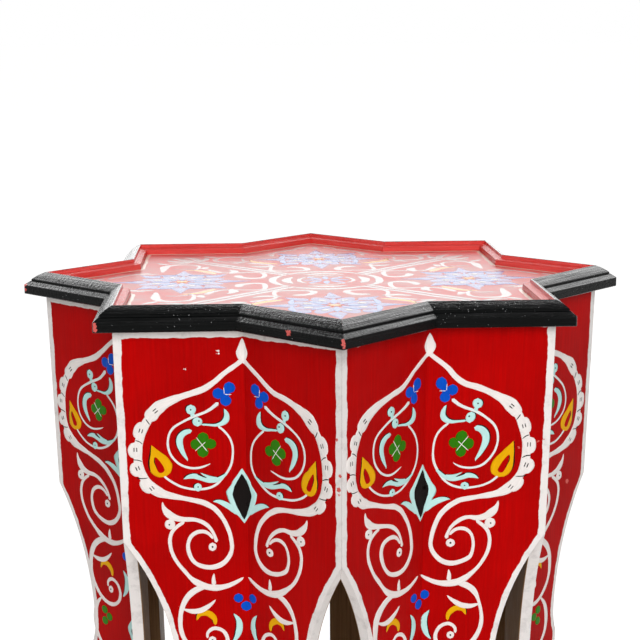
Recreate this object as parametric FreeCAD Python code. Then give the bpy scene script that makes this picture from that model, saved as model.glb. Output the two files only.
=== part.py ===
import FreeCAD, Part
import math
import os

# Eight-pointed star stool of painted wood, with a recessed star panel inside a mitred rim.
# The plan is two equal squares laid over each other at 45 degrees, so every point of the star is a
# right angle, and sixteen short edges run between its eight points and its eight hollows.
# A board stands under each edge and leans in a little towards the floor. Two boards meet at each
# point and two at each hollow.
# A pointed horseshoe arch is cut through both boards at each point, which leaves eight folded legs.
# Origin: middle of the footprint on the floor, with +Z up. One star point faces -Y.

# Overall sizes, the width across the rounded points of the rim
overall_width = 600.0
overall_height = 555.0

# Plan of the star
point_count = 8
point_pitch = math.radians(360.0 / point_count)
first_point_angle = math.radians(-90.0)
hollow_share = math.cos(math.radians(45.0)) / math.cos(math.radians(22.5))

# Glued joints: the gap that a glue line leaves between two faces
glue_line = 0.15

# Top panel
panel_thickness = 9.0
panel_recess = 10.6

# Rim moulding, measured from the ridge line at its crown: reaches are level, drops are downwards
fascia_reach = 16.3
fascia_top_drop = 13.3
fascia_ease = 0.8
board_lap = 2.1
point_round = 2.5
crown_half_width = 0.9
crown_drop = 0.45
slope_reach = 10.4
slope_drop = 7.1
slope_bulge = 0.55
quirk_width = 0.9
quirk_drop = 9.7
lower_slope_top_drop = 8.9
lower_slope_reach = 15.4
lower_slope_drop = 12.3
nose_bulge = 0.2
ledge_outer_reach = 1.4
ledge_outer_drop = 3.5
ledge_inner_reach = 7.6
ledge_inner_drop = 5.0
foot_reach = 8.2

# Side boards: the top of their outer faces stands this far outside the ridge line
board_thickness = 11.0
board_reach = 0.55
board_lean = math.radians(1.26)

# Pointed horseshoe arch, cut half in each board that meets at a star point
arch_apex_height = 336.5
arch_half_width = 44.0
arch_spring_height = 200.5
arch_neck_half_width = 38.0
arch_return_radius = 60.0

# Corner blocks inside the star points
block_leg = 26.0
block_length = 120.0

# Length added to a cutting body so that it runs clear of what it cuts
overrun = 20.0

# Sizes worked out from those above
seat_drop = panel_recess + panel_thickness
rim_height = seat_drop + board_lap
seat_height = overall_height - seat_drop
board_top = seat_height - glue_line
lean_share = math.tan(board_lean)
half_edge_angle = point_pitch / 4.0


def point_radius_inside(offset):
    """Radius of the sharp star points of an outline that lies this far inside the rim's fascia."""
    rounded_off = point_round * (math.sqrt(2.0) - 1.0)
    return overall_width / 2.0 + rounded_off - offset * math.sqrt(2.0)


fascia_point_radius = point_radius_inside(0.0)
ridge_point_radius = point_radius_inside(fascia_reach)
board_point_radius = point_radius_inside(fascia_reach - board_reach)


def polar(radius, angle, height=0.0):
    """Point at a radius and an angle in plan."""
    return FreeCAD.Vector(radius * math.cos(angle), radius * math.sin(angle), height)


first_hollow_angle = first_point_angle + point_pitch / 2.0
edge_direction = (polar(hollow_share, first_hollow_angle) - polar(1.0, first_point_angle)).normalize()
edge_normal = FreeCAD.Vector(edge_direction.y, -edge_direction.x, 0.0)


def edge_place(point_radius, along, outward, height):
    """Point beside the first edge: along it from the star point, outward from it and above the floor."""
    start = polar(point_radius, first_point_angle)
    return start + edge_direction * along + edge_normal * outward + FreeCAD.Vector(0.0, 0.0, height)


def edge_length(point_radius):
    """Length of one edge of the star, from point to hollow."""
    span = polar(hollow_share * point_radius, first_hollow_angle) - polar(point_radius, first_point_angle)
    return span.Length


def prism(points, rise):
    """Solid over a flat outline, carried straight up or along a given way."""
    if not isinstance(rise, FreeCAD.Vector):
        rise = FreeCAD.Vector(0.0, 0.0, rise)
    outline = Part.makePolygon(points + [points[0]])
    return Part.Face(outline).extrude(rise)


def mitre_wedge():
    """Upright wedge between the mitre planes at the first point and the first hollow.

    Both planes hold the middle axis, and each is drawn back by half a glue line.
    """
    reach = overall_width / 2.0 + overrun
    corner = polar(glue_line / 2.0 / math.sin(half_edge_angle), first_point_angle + half_edge_angle, -overrun)
    outline = [
        corner,
        corner + polar(reach, first_point_angle),
        corner + polar(reach, first_hollow_angle),
    ]
    return prism(outline, overall_height + overrun * 2.0)


def arc(start, middle, end):
    """Edge that bends through three points."""
    return Part.Arc(start, middle, end).toShape()


def line(start, end):
    """Straight edge."""
    return Part.LineSegment(start, end).toShape()


def arc_middle(start, end, bulge):
    """Middle of an arc that stands out from its chord, with places given as reach and drop."""
    run, fall = end[0] - start[0], end[1] - start[1]
    length = math.hypot(run, fall)
    return ((start[0] + end[0]) / 2.0 + bulge * fall / length, (start[1] + end[1]) / 2.0 - bulge * run / length)


def rim_section(along):
    """Section of the rim moulding, square to the first edge.

    From inside to outside it has a lower wall, a broad ledge, an upper wall, a rounded crown, a long
    slope that is slightly full, a quirk, a short lower slope, a rounded nose and a plain fascia that
    laps over the side board.
    """
    def at(place):
        return edge_place(ridge_point_radius, along, place[0], overall_height - place[1])

    crown_inner = (-crown_half_width, crown_drop)
    crown_outer = (crown_half_width, crown_drop)
    slope_foot = (slope_reach, slope_drop)
    nose_top = (lower_slope_reach, lower_slope_drop)
    fascia_top = (fascia_reach, fascia_top_drop)
    rabbet_reach = board_reach + glue_line
    straights = [
        [
            (-foot_reach, seat_drop),
            (-foot_reach, panel_recess),
            (-ledge_inner_reach, ledge_inner_drop),
            (-ledge_outer_reach, ledge_outer_drop),
            crown_inner,
        ],
        [
            slope_foot,
            (slope_reach, quirk_drop),
            (slope_reach + quirk_width, quirk_drop),
            (slope_reach + quirk_width, lower_slope_top_drop),
            nose_top,
        ],
        [
            fascia_top,
            (fascia_reach, rim_height - fascia_ease),
            (fascia_reach - fascia_ease, rim_height),
            (rabbet_reach, rim_height),
            (rabbet_reach, seat_drop),
            (-foot_reach, seat_drop),
        ],
    ]
    edges = [line(at(start), at(end)) for places in straights for start, end in zip(places, places[1:])]
    edges += [
        arc(at(crown_inner), at((0.0, 0.0)), at(crown_outer)),
        arc(at(crown_outer), at(arc_middle(crown_outer, slope_foot, slope_bulge)), at(slope_foot)),
        arc(at(nose_top), at(arc_middle(nose_top, fascia_top, nose_bulge)), at(fascia_top)),
    ]
    return Part.Face(Part.Wire(Part.__sortEdges__(edges)))


def point_rounding():
    """Upright body outside the rounding of the rim at the first star point."""
    def outward(along, distance):
        return edge_place(fascia_point_radius, along, distance, overall_height - rim_height - overrun)

    def other_side(place):
        return FreeCAD.Vector(-place.x, place.y, place.z)

    touch = outward(point_round, 0.0)
    beside = outward(point_round, overrun)
    beyond = outward(-overrun, overrun)
    tip = polar(overall_width / 2.0, first_point_angle, touch.z)
    outline = Part.Wire([
        arc(other_side(touch), tip, touch),
        line(touch, beside),
        line(beside, beyond),
        line(beyond, other_side(beside)),
        line(other_side(beside), other_side(touch)),
    ])
    return Part.Face(outline).extrude(FreeCAD.Vector(0.0, 0.0, rim_height + overrun * 2.0))


def rim_moulding():
    """One length of rim moulding, mitred at the star point and at the hollow."""
    length = edge_length(ridge_point_radius) + overrun * 4.0
    body = rim_section(overrun * -2.0).extrude(edge_direction * length)
    return body.common(mitre_wedge()).cut(point_rounding())


def lean_in(height):
    """How far a board's outer face lies inside its own top at a height above the floor."""
    return (board_top - height) * lean_share


def arch_half_cutter():
    """Half of the arch, from the star point along the board, as a body that runs through the board.

    A long arc falls from the apex to the widest place, a short one returns to the neck, and the side
    of the leg runs straight down from there. All of it follows the lean of the star point.
    """
    def at(along, height):
        return edge_place(board_point_radius, along + lean_in(height), overrun, height)

    rise = arch_apex_height - arch_spring_height
    flank_radius = (arch_half_width ** 2 + rise ** 2) / (2.0 * arch_half_width)
    flank_centre = arch_half_width - flank_radius
    flank_angle = math.atan2(rise, -flank_centre) / 2.0
    flank_middle = at(
        flank_centre + flank_radius * math.cos(flank_angle),
        arch_spring_height + flank_radius * math.sin(flank_angle),
    )
    neck_angle = math.acos(1.0 - (arch_half_width - arch_neck_half_width) / arch_return_radius)
    return_centre = arch_half_width - arch_return_radius
    neck_height = arch_spring_height - arch_return_radius * math.sin(neck_angle)
    return_middle = at(
        return_centre + arch_return_radius * math.cos(neck_angle / 2.0),
        arch_spring_height - arch_return_radius * math.sin(neck_angle / 2.0),
    )
    apex = at(0.0, arch_apex_height)
    spring = at(arch_half_width, arch_spring_height)
    neck = at(arch_neck_half_width, neck_height)
    foot = at(arch_neck_half_width, -overrun)
    beyond_foot = at(-overrun, -overrun)
    beyond_apex = at(-overrun, arch_apex_height)
    outline = Part.Wire([
        line(beyond_apex, apex),
        arc(apex, flank_middle, spring),
        arc(spring, return_middle, neck),
        line(neck, foot),
        line(foot, beyond_foot),
        line(beyond_foot, beyond_apex),
    ])
    return Part.Face(outline).extrude(edge_normal * -(board_thickness + overrun * 2.0))


def side_board():
    """One leaning board under the first edge, mitred at both ends and cut by its half of the arch."""
    corners = [
        (0.0, board_top),
        (-board_thickness, board_top),
        (-board_thickness - lean_in(0.0), 0.0),
        (-lean_in(0.0), 0.0),
    ]
    section = [edge_place(board_point_radius, -overrun, outward, height) for outward, height in corners]
    length = edge_length(board_point_radius) + overrun * 2.0
    return prism(section, edge_direction * length).common(mitre_wedge()).cut(arch_half_cutter())


def tip_block():
    """Three-sided block glued into the corner inside the first star point, under the panel."""
    base = board_top - block_length
    inside = board_thickness + glue_line
    corner_radius = board_point_radius - (inside + lean_in(base)) * math.sqrt(2.0)
    corner = polar(corner_radius, first_point_angle, base)
    mirrored_direction = FreeCAD.Vector(-edge_direction.x, edge_direction.y, 0.0)
    outline = [corner, corner + edge_direction * block_leg, corner + mirrored_direction * block_leg]
    return prism(outline, polar(lean_in(base) * math.sqrt(2.0), first_point_angle, block_length))


def top_panel():
    """Star-shaped panel that lies on the boards, inside the wall of the rim."""
    point_radius = ridge_point_radius - (foot_reach + glue_line) * math.sqrt(2.0)
    outline = []
    for index in range(point_count):
        angle = first_point_angle + point_pitch * index
        outline.append(polar(point_radius, angle, seat_height))
        outline.append(polar(point_radius * hollow_share, angle + point_pitch / 2.0, seat_height))
    return prism(outline, panel_thickness)


def turned(shape, index):
    """Copy of a shape of the first star point, turned to another point."""
    copy = shape.copy()
    copy.rotate(FreeCAD.Vector(0.0, 0.0, 0.0), FreeCAD.Vector(0.0, 0.0, 1.0), math.degrees(point_pitch) * index)
    return copy


def mirrored(shape):
    """Copy of a shape, mirrored to the other side of the first star point."""
    return shape.mirror(FreeCAD.Vector(0.0, 0.0, 0.0), FreeCAD.Vector(1.0, 0.0, 0.0))


def build_nodes():
    """All sub-parts of the stool by name."""
    nodes = {"top_panel": top_panel()}
    right_rim = rim_moulding()
    right_board = side_board()
    rim_pair = (mirrored(right_rim), right_rim)
    board_pair = (mirrored(right_board), right_board)
    for index in range(point_count):
        nodes[f"tip_block_{index + 1}"] = turned(tip_block(), index)
        for side in range(len(rim_pair)):
            number = index * len(rim_pair) + side + 1
            nodes[f"rim_moulding_{number:02d}"] = turned(rim_pair[side], index)
            nodes[f"side_board_{number:02d}"] = turned(board_pair[side], index)
    return nodes


os.makedirs("parts", exist_ok=True)
for name, shape in sorted(build_nodes().items()):
    shape.exportStep(f"parts/{name}.step")
    print(name, "solids", len(shape.Solids), "valid", shape.isValid(), "volume", round(shape.Volume, 1))
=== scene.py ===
"""Looks of an eight-pointed star stool of painted wood.

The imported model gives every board, moulding, block and panel, and they stay as they are. This script
gives them their painted finishes, lays the hand-painted ornament on them as thin raised strokes of
paint, and sets up a plain pale studio with a camera at the photograph's angle.
Sizes in the classes are millimetres and become metres where meshes are made. The plan is a star of
eight points, and one point faces -Y.
"""

import logging
import math
from dataclasses import dataclass, field
from enum import Enum
from functools import partial, reduce
from typing import Any

import bmesh
import bpy
import numpy as np
from mathutils import Matrix, Vector


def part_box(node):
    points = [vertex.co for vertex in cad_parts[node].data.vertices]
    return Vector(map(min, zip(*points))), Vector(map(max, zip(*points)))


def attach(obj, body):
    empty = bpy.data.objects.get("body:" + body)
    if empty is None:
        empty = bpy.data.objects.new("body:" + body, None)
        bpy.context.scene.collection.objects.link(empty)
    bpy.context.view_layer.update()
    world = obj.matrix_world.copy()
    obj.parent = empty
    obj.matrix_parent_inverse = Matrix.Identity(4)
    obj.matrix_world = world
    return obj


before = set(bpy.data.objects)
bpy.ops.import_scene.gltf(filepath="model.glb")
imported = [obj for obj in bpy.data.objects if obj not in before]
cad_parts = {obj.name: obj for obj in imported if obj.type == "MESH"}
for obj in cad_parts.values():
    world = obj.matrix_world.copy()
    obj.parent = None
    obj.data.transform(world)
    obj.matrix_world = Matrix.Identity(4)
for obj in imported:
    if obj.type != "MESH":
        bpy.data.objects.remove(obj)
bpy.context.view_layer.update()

log = logging.getLogger("star_stool")

# A noise is its scale, detail and roughness, and the last two alone where a length sets the scale.
# A range is its low and high, then what they become
Noise = tuple[float, float, float]
Detail = tuple[float, float]
Range = tuple[float, float, float, float]
Colour = tuple[float, float, float, float]
Place = tuple[float, float, float]

MM = 0.001
POINTS = 8
PITCH = 2.0 * math.pi / POINTS
HALF_PITCH = PITCH / 2.0
QUARTER = math.pi / 4.0
FIRST_POINT = -math.pi / 2.0
HOLLOW_SHARE = math.cos(QUARTER) / math.cos(HALF_PITCH)
WHITE_LIGHT = (1.0, 1.0, 1.0, 1.0)

# The grain of one edge is this far from the next one's, and runs at these paces along boards and mouldings
EDGE_SHIFT = 37.0
BOARD_GRAIN_PACE = 0.035
MOULDING_GRAIN_PACE = 0.02

# A worn spot's ragged outline, with bays of about 2 mm
RAGGED_NOISE: Noise = (520.0, 2.0, 0.5)
RAGGED_DEPTH = 5.0
RAGGED_EDGE: Range = (2.3, 2.7, 1.0, 0.0)

# A dab's two ends lie at this share of its radius from its middle
DAB_SHARE = 0.98

# A mesh point this near the crease lies on it
CREASE_REACH = 1e-5

STROKE_ATTRIBUTE = "brush_stroke"
ACROSS_ATTRIBUTE = "across_stroke"
HALF_WIDTH_ATTRIBUTE = "half_width"
MAIN_SETTINGS = {
    "Math": "operation", "VectorMath": "operation", "Mix": "data_type", "MapRange": "interpolation_type",
    "GeometryNodeStoreNamedAttribute": "data_type", "GeometryNodeInputNamedAttribute": "data_type",
}


def linear(colour: str) -> Colour:
    """Turns an sRGB hex colour into the linear colour that a shader socket takes.

    Args:
        colour: hex colour with its leading mark.

    Returns:
        Red, green, blue and alpha.
    """
    parts = [int(colour[i : i + 2], 16) / 255.0 for i in (1, 3, 5)]
    red, green, blue = (c / 12.92 if c <= 0.04045 else ((c + 0.055) / 1.055) ** 2.4 for c in parts)
    return red, green, blue, 1.0


def add_node(
    tree: bpy.types.NodeTree, kind: str, settings: dict | str | None = None, *values: Any, **named: Any
) -> bpy.types.Node:
    """Adds one node to a tree with its settings and links.

    Args:
        tree: node tree that gets the node.
        kind: the node's type name, of which a shader node's first part may be left out.
        settings: properties of the node, by name, or only its main one.
        values: what goes into its sockets in order; None leaves a socket alone.
        named: what goes into its sockets by name, with _ for a space. A node stands for its first
            output in use.

    Returns:
        The new node.
    """
    node = tree.nodes.new(kind if "Node" in kind else f"ShaderNode{kind}")
    if isinstance(settings, str):
        settings = {MAIN_SETTINGS[kind]: settings}
    for name, value in (settings or {}).items():
        setattr(node, name, value)
    wanted = [(node.inputs[place], value) for place, value in enumerate(values) if value is not None]
    for name, value in named.items():
        title = name.replace("_", " ")
        wanted.append((next(s for s in node.inputs if s.enabled and s.name == title), value))
    for socket, value in wanted:
        if isinstance(value, bpy.types.Node):
            value = next(output for output in value.outputs if output.enabled)
        if isinstance(value, bpy.types.NodeSocket):
            tree.links.new(value, socket)
        else:
            socket.default_value = value
    return node


def fill_ramp(node: bpy.types.Node, *stops: tuple[float, Colour]) -> bpy.types.Node:
    """Sets the stops of a colour ramp.

    Args:
        node: the ramp's node.
        stops: place and linear colour of each stop, from low to high.

    Returns:
        The same node.
    """
    elements = node.color_ramp.elements
    while len(elements) < len(stops):
        elements.new(0.5)
    for element, (place, colour) in zip(elements, stops):
        element.position, element.color = place, colour
    return node


@dataclass(frozen=True)
class StarPlan:
    """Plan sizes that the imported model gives, in metres.

    Attributes:
        board_apothem: distance from the middle axis to the outer face of every side board, at its top.
        board_top: height of the boards' upper ends.
        ridge_apothem: distance from the middle axis to the ridge line along the rim's crown.
        panel_top: height of the panel's upper face.
        top: height of the rim's crown.
        board_lean: how far the boards' faces go in, for each unit of height, towards the floor.
    """

    board_apothem: float
    board_top: float
    ridge_apothem: float
    panel_top: float
    top: float
    board_lean: float = math.tan(math.radians(1.26))

    @classmethod
    def from_frame(cls) -> "StarPlan":
        """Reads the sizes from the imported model's boxes.

        Returns:
            The plan's sizes.
        """
        board_low, board_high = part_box("side_board_16")
        rim_low, rim_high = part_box("rim_moulding_16")
        _, panel_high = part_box("top_panel")
        ridge_apothem = -rim_low.y - RimFinish.fascia_reach * MM
        return cls(-board_low.y, board_high.z, ridge_apothem, panel_high.z, rim_high.z)

    def apothem_at(self, height: float | np.ndarray) -> float | np.ndarray:
        """Gives the distance from the middle axis to the boards' faces at a height."""
        return self.board_apothem - self.board_lean * (self.board_top - height)


@dataclass(frozen=True)
class StarSockets:
    """Shader sockets that measure a place on the star's folded edge, in millimetres.

    Attributes:
        reach: distance outward from the chosen upright face.
        along: distance along the edge from the star point.
        height: height above the floor.
        streak: place for a grain that runs up the boards, different on every edge.
        line: place for a grain that runs along the mouldings, different on every edge.
        object: plain object coordinates in metres.
        place: the same in millimetres.
    """

    reach: bpy.types.NodeSocket
    along: bpy.types.NodeSocket
    height: bpy.types.NodeSocket
    streak: bpy.types.NodeSocket
    line: bpy.types.NodeSocket
    object: bpy.types.NodeSocket
    place: bpy.types.NodeSocket


def star_sockets(
    tree: bpy.types.NodeTree, apothem: float, lean: float = 0.0, top: float = 0.0
) -> StarSockets:
    """Adds the nodes that fold the star's sixteen edges onto one and measure along it.

    Args:
        tree: the material's node tree.
        apothem: distance in metres from the middle axis to the face at reach zero.
        lean: how far that face goes in, for each unit of height, below the height where it has that
            apothem.
        top: that height in metres.

    Returns:
        The measuring sockets.
    """
    add = partial(add_node, tree)
    place = add("TexCoord").outputs["Object"]
    scaled = add("VectorMath", "SCALE", place, Scale=1.0 / MM)
    x, y, height = add("SeparateXYZ", None, scaled).outputs
    turned = add("Math", "SUBTRACT", add("Math", "ARCTAN2", y, x), FIRST_POINT)
    folded = add("Math", "PINGPONG", turned, HALF_PITCH)
    index = add("Math", "FLOOR", add("Math", "DIVIDE", turned, HALF_PITCH))
    radius = add("VectorMath", "LENGTH", add("CombineXYZ", None, x, y)).outputs["Value"]
    face = add("Math", "MULTIPLY_ADD", height, lean, (apothem - lean * top) / MM)
    distances = []
    for turn, side in ((QUARTER, -1.0), (3.0 * QUARTER, 1.0)):
        cosine = add("Math", "COSINE", add("Math", "SUBTRACT", folded, turn))
        share = add("Math", "MULTIPLY", radius, cosine)
        distances.append(add("Math", "MULTIPLY_ADD", face, side, share).outputs[0])
    reach, along = distances
    apart = add("Math", "MULTIPLY", index, EDGE_SHIFT)
    slow_height = add("Math", "MULTIPLY", height, BOARD_GRAIN_PACE)
    streak = add("CombineXYZ", None, add("Math", "ADD", along, apart), slow_height, reach)
    slow_along = add("Math", "MULTIPLY", along, MOULDING_GRAIN_PACE)
    line = add("CombineXYZ", None, reach, slow_along, add("Math", "ADD", height, apart))
    return StarSockets(reach, along, height, streak.outputs[0], line.outputs[0], place, scaled.outputs[0])


@dataclass(frozen=True)
class Mark:
    """A worn spot, with its place in the stool's frame and its radius in millimetres."""

    x: float
    y: float
    z: float
    radius: float


def worn_spots(
    tree: bpy.types.NodeTree, star: StarSockets, marks: tuple[Mark, ...]
) -> bpy.types.NodeSocket:
    """Adds nodes that find the ragged worn spots.

    Args:
        tree: the material's node tree.
        star: the measuring sockets.
        marks: the spots.

    Returns:
        One on the spots and zero elsewhere.
    """
    add = partial(add_node, tree)
    ragged = add("TexNoise", None, star.object, None, *RAGGED_NOISE)
    beyond = []
    for mark in marks:
        away = add("VectorMath", "DISTANCE", star.place, (mark.x, mark.y, mark.z)).outputs["Value"]
        beyond.append(add("Math", "SUBTRACT", away, mark.radius))
    nearest = reduce(partial(add, "Math", "MINIMUM"), beyond)
    uneven = add("Math", "MULTIPLY_ADD", ragged, RAGGED_DEPTH, nearest)
    return add("MapRange", None, uneven, *RAGGED_EDGE).outputs[0]


def new_material(name: str) -> tuple[bpy.types.Material, bpy.types.NodeTree, bpy.types.Node]:
    """Makes an empty material with its output node.

    Args:
        name: the finish it stands for.

    Returns:
        The material, its tree and its output node.
    """
    material = bpy.data.materials.new(name)
    material.use_nodes = True
    tree = material.node_tree
    tree.nodes.clear()
    return material, tree, add_node(tree, "OutputMaterial")


@dataclass(frozen=True)
class BoardFinish:
    """Red oil paint brushed on softwood boards, lined out in white.

    The paint is thin, so its upright brush streaks show a little, and the white lines along the
    corners, under the rim and round the arches are uneven and scuffed. The inner faces are bare.

    Attributes:
        red: the coat, with deep_red and light_red in its thick and thin streaks.
        white: the lines, with scuff where hands and floors rub them.
        worn_red: red paint rubbed pale.
        bare: the wood, with bare_dark in its grain.
        corner_line: width of the white line on each side of a corner.
        band_depths: how far below the crown the band under the rim ends, on the left and on the right.
        band_change: where across the stool the one depth turns into the other.
        arch_border: width of the white line round an arch.
        arch_apex: height of the arch's tip.
        arch_spring: height where the arch is widest.
        arch_half_width: half its width there.
        neck_half_width: half the width of the opening at the floor.
        return_radius: radius of the curve between the two.
        board_thickness: thickness of the boards.
        front_depth: how far behind the outer face the lines still reach.
        cut_depth: how far from the arch's edge its cut face is painted.
        back_depth: how far in front of the inner face the bare wood begins.
        line_blur: half the width of a line's soft edge.
        wobble_length: length of the lines' hand wobble, with wobble_detail and wobble_range.
        streak_width: width of a brush streak, with streak_detail, and streak_stops for its tones.
        blotch_noise: where the coat is thin, about every 70 mm, with blotch_range for its shade.
        rub_noise: where the white is rubbed, about every 18 mm, with rub_range for how much and
            gloss_range for its gloss.
        grain_noise: the wood's grain, about 3 mm wide, with grain_bend and grain_stops.
        streak_relief: height of the streaks.
        line_relief: height of the white lines.
        specular: strength of the gloss.
        worn: spots rubbed pale.
        speckles: drops of white paint.
    """

    red: str = "#B20101"
    deep_red: str = "#9E0202"
    light_red: str = "#BA0A06"
    white: str = "#E9E4E1"
    scuff: str = "#A9A3A0"
    worn_red: str = "#CF6058"
    bare: str = "#A57F58"
    bare_dark: str = "#7C5A3A"
    corner_line: float = 6.7
    band_depths: tuple[float, float] = (29.8, 24.0)
    band_change: tuple[float, float] = (-60.0, 60.0)
    arch_border: float = 5.0
    arch_apex: float = 336.5
    arch_spring: float = 200.5
    arch_half_width: float = 44.0
    neck_half_width: float = 38.0
    return_radius: float = 60.0
    board_thickness: float = 11.0
    front_depth: float = 0.4
    cut_depth: float = 0.25
    back_depth: float = 0.6
    line_blur: float = 0.25
    wobble_length: float = 16.0
    wobble_detail: Detail = (3.0, 0.6)
    wobble_range: Range = (0.25, 0.75, -1.1, 1.1)
    streak_width: float = 2.2
    streak_detail: Detail = (4.0, 0.65)
    streak_stops: tuple[float, float, float] = (0.25, 0.62, 0.85)
    blotch_noise: Noise = (14.0, 3.0, 0.5)
    blotch_range: Range = (0.3, 0.7, 0.86, 1.1)
    rub_noise: Noise = (55.0, 6.0, 0.7)
    rub_range: Range = (0.52, 0.74, 0.0, 0.55)
    gloss_range: Range = (0.3, 0.7, 0.34, 0.5)
    grain_noise: Noise = (0.35, 5.0, 0.7)
    grain_bend: float = 0.6
    grain_stops: tuple[float, float] = (0.3, 0.7)
    streak_relief: float = 0.05
    line_relief: float = 0.12
    specular: float = 0.04
    worn: tuple[Mark, ...] = (
        Mark(166.5, -194.6, 419.1, 0.9), Mark(172.2, -194.6, 420.9, 0.8), Mark(178.0, -194.7, 422.7, 1.0),
        Mark(183.6, -194.7, 424.5, 0.8), Mark(189.2, -194.7, 426.3, 0.9), Mark(249.7, -22.8, 333.8, 2.4),
        Mark(-1.5, -273.7, 418.7, 1.5), Mark(-2.3, -272.5, 406.0, 2.2), Mark(-2.4, -272.4, 401.5, 1.2),
        Mark(-3.9, -272.2, 450.0, 1.0),
    )
    speckles: tuple[Mark, ...] = (
        Mark(-104.7, -196.6, 512.7, 1.2), Mark(-104.2, -196.6, 510.4, 1.0), Mark(-133.8, -196.3, 496.8, 0.9),
    )

    def arch_distance(self, tree: bpy.types.NodeTree, star: StarSockets) -> bpy.types.NodeSocket:
        """Adds nodes that measure how far a place is from the arch's edge.

        Args:
            tree: the material's node tree.
            star: the measuring sockets.

        Returns:
            Distance from the edge in millimetres, into the wood.
        """
        add = partial(add_node, tree)
        rise = self.arch_apex - self.arch_spring
        flank_radius = (self.arch_half_width**2 + rise**2) / (2.0 * self.arch_half_width)
        lift = add("Math", "SUBTRACT", star.height, self.arch_spring)
        from_arc = []
        for radius in (flank_radius, self.return_radius):
            side = add("Math", "SUBTRACT", star.along, self.arch_half_width - radius)
            length = add("VectorMath", "LENGTH", add("CombineXYZ", None, side, lift)).outputs["Value"]
            from_arc.append(add("Math", "SUBTRACT", length, radius))
        straight = add("Math", "SUBTRACT", star.along, self.neck_half_width)
        lower = add("Math", "MINIMUM", from_arc[1], straight)
        above = add("Math", "GREATER_THAN", lift, 0.0)
        return add("Mix", "FLOAT", Factor=above, A=lower, B=from_arc[0]).outputs[0]

    def white_lines(
        self, tree: bpy.types.NodeTree, plan: StarPlan, star: StarSockets
    ) -> bpy.types.NodeSocket:
        """Adds nodes that find the white lines and the painted cut faces of the arches.

        Args:
            tree: the material's node tree.
            plan: the star's sizes.
            star: the measuring sockets.

        Returns:
            One on the white paint and zero elsewhere.
        """
        add = partial(add_node, tree)
        pace = 1.0 / (self.wobble_length * MM)
        drift = add("TexNoise", None, star.object, None, pace, *self.wobble_detail)
        wobble = add("MapRange", None, drift, *self.wobble_range)
        below_top = add("Math", "SUBTRACT", plan.top / MM, star.height)
        arch = self.arch_distance(tree, star)

        # The band under the rim was painted deeper on one half of the stool than on the other
        across = add("SeparateXYZ", None, star.place)
        left_depth, right_depth = self.band_depths
        less = add("MapRange", None, across, *self.band_change, 0.0, left_depth - right_depth)
        below_top = add("Math", "ADD", below_top, less)
        masks = []
        for distance, width in (
            (star.along, self.corner_line), (below_top, left_depth), (arch, self.arch_border)
        ):
            uneven = add("Math", "ADD", distance, wobble)
            edge = (width - self.line_blur, width + self.line_blur, 1.0, 0.0)
            masks.append(add("MapRange", "SMOOTHSTEP", uneven, *edge))
        lined = reduce(partial(add, "Math", "MAXIMUM"), masks)
        lined = add("Math", "MULTIPLY", lined, add("Math", "GREATER_THAN", star.reach, -self.front_depth))
        cut_face = add("Math", "LESS_THAN", arch, self.cut_depth)
        not_back = add("Math", "GREATER_THAN", star.reach, self.back_depth - self.board_thickness)
        return add("Math", "MAXIMUM", lined, add("Math", "MULTIPLY", cut_face, not_back)).outputs[0]

    def make(self, plan: StarPlan) -> bpy.types.Material:
        """Builds the material.

        Args:
            plan: the star's sizes.

        Returns:
            The painted board material.
        """
        material, tree, output = new_material("red_oil_paint_on_softwood")
        add = partial(add_node, tree)
        star = star_sockets(tree, plan.board_apothem, plan.board_lean, plan.board_top)
        lined = self.white_lines(tree, plan, star)

        # Red paint: brush streaks run up the boards, and slow blotches show where the coat is thin
        streaks = add("TexNoise", None, star.streak, None, 1.0 / self.streak_width, *self.streak_detail)
        tones = (linear(tone) for tone in (self.deep_red, self.red, self.light_red))
        red = fill_ramp(add("ValToRGB", None, streaks), *zip(self.streak_stops, tones))
        blotch = add("TexNoise", None, star.object, None, *self.blotch_noise)
        red = add("VectorMath", "SCALE", red, Scale=add("MapRange", None, blotch, *self.blotch_range))

        # White paint: scuffed grey where hands and floors rub it
        rub = add("TexNoise", None, star.object, None, *self.rub_noise)
        rubbed = add("MapRange", None, rub, *self.rub_range)
        white = add("Mix", "RGBA", Factor=rubbed, A=linear(self.white), B=linear(self.scuff))
        front = add("Mix", "RGBA", Factor=lined, A=red, B=white)
        for marks, tone in ((self.worn, self.worn_red), (self.speckles, self.white)):
            front = add("Mix", "RGBA", Factor=worn_spots(tree, star, marks), A=front, B=linear(tone))

        # Inner faces are bare, with a long grain up the board
        grain = add("TexNoise", None, star.streak, None, *self.grain_noise, Distortion=self.grain_bend)
        tones = (linear(tone) for tone in (self.bare_dark, self.bare))
        bare = fill_ramp(add("ValToRGB", None, grain), *zip(self.grain_stops, tones))
        back = add("Math", "LESS_THAN", star.reach, self.back_depth - self.board_thickness)
        colour = add("Mix", "RGBA", Factor=back, A=front, B=bare)

        # Height of the paint: streaks, and the white lines standing a little proud
        relief = add("Math", "MULTIPLY", streaks, self.streak_relief)
        relief = add("Math", "MULTIPLY_ADD", lined, self.line_relief, relief)
        bump = add("Bump", None, Strength=1.0, Distance=MM, Height=relief)
        gloss = add("MapRange", None, rub, *self.gloss_range)
        paint = add(
            "BsdfPrincipled", None, Base_Color=colour, Roughness=gloss, Specular_IOR_Level=self.specular,
            Normal=bump,
        )
        tree.links.new(paint.outputs[0], output.inputs[0])
        return material


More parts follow.
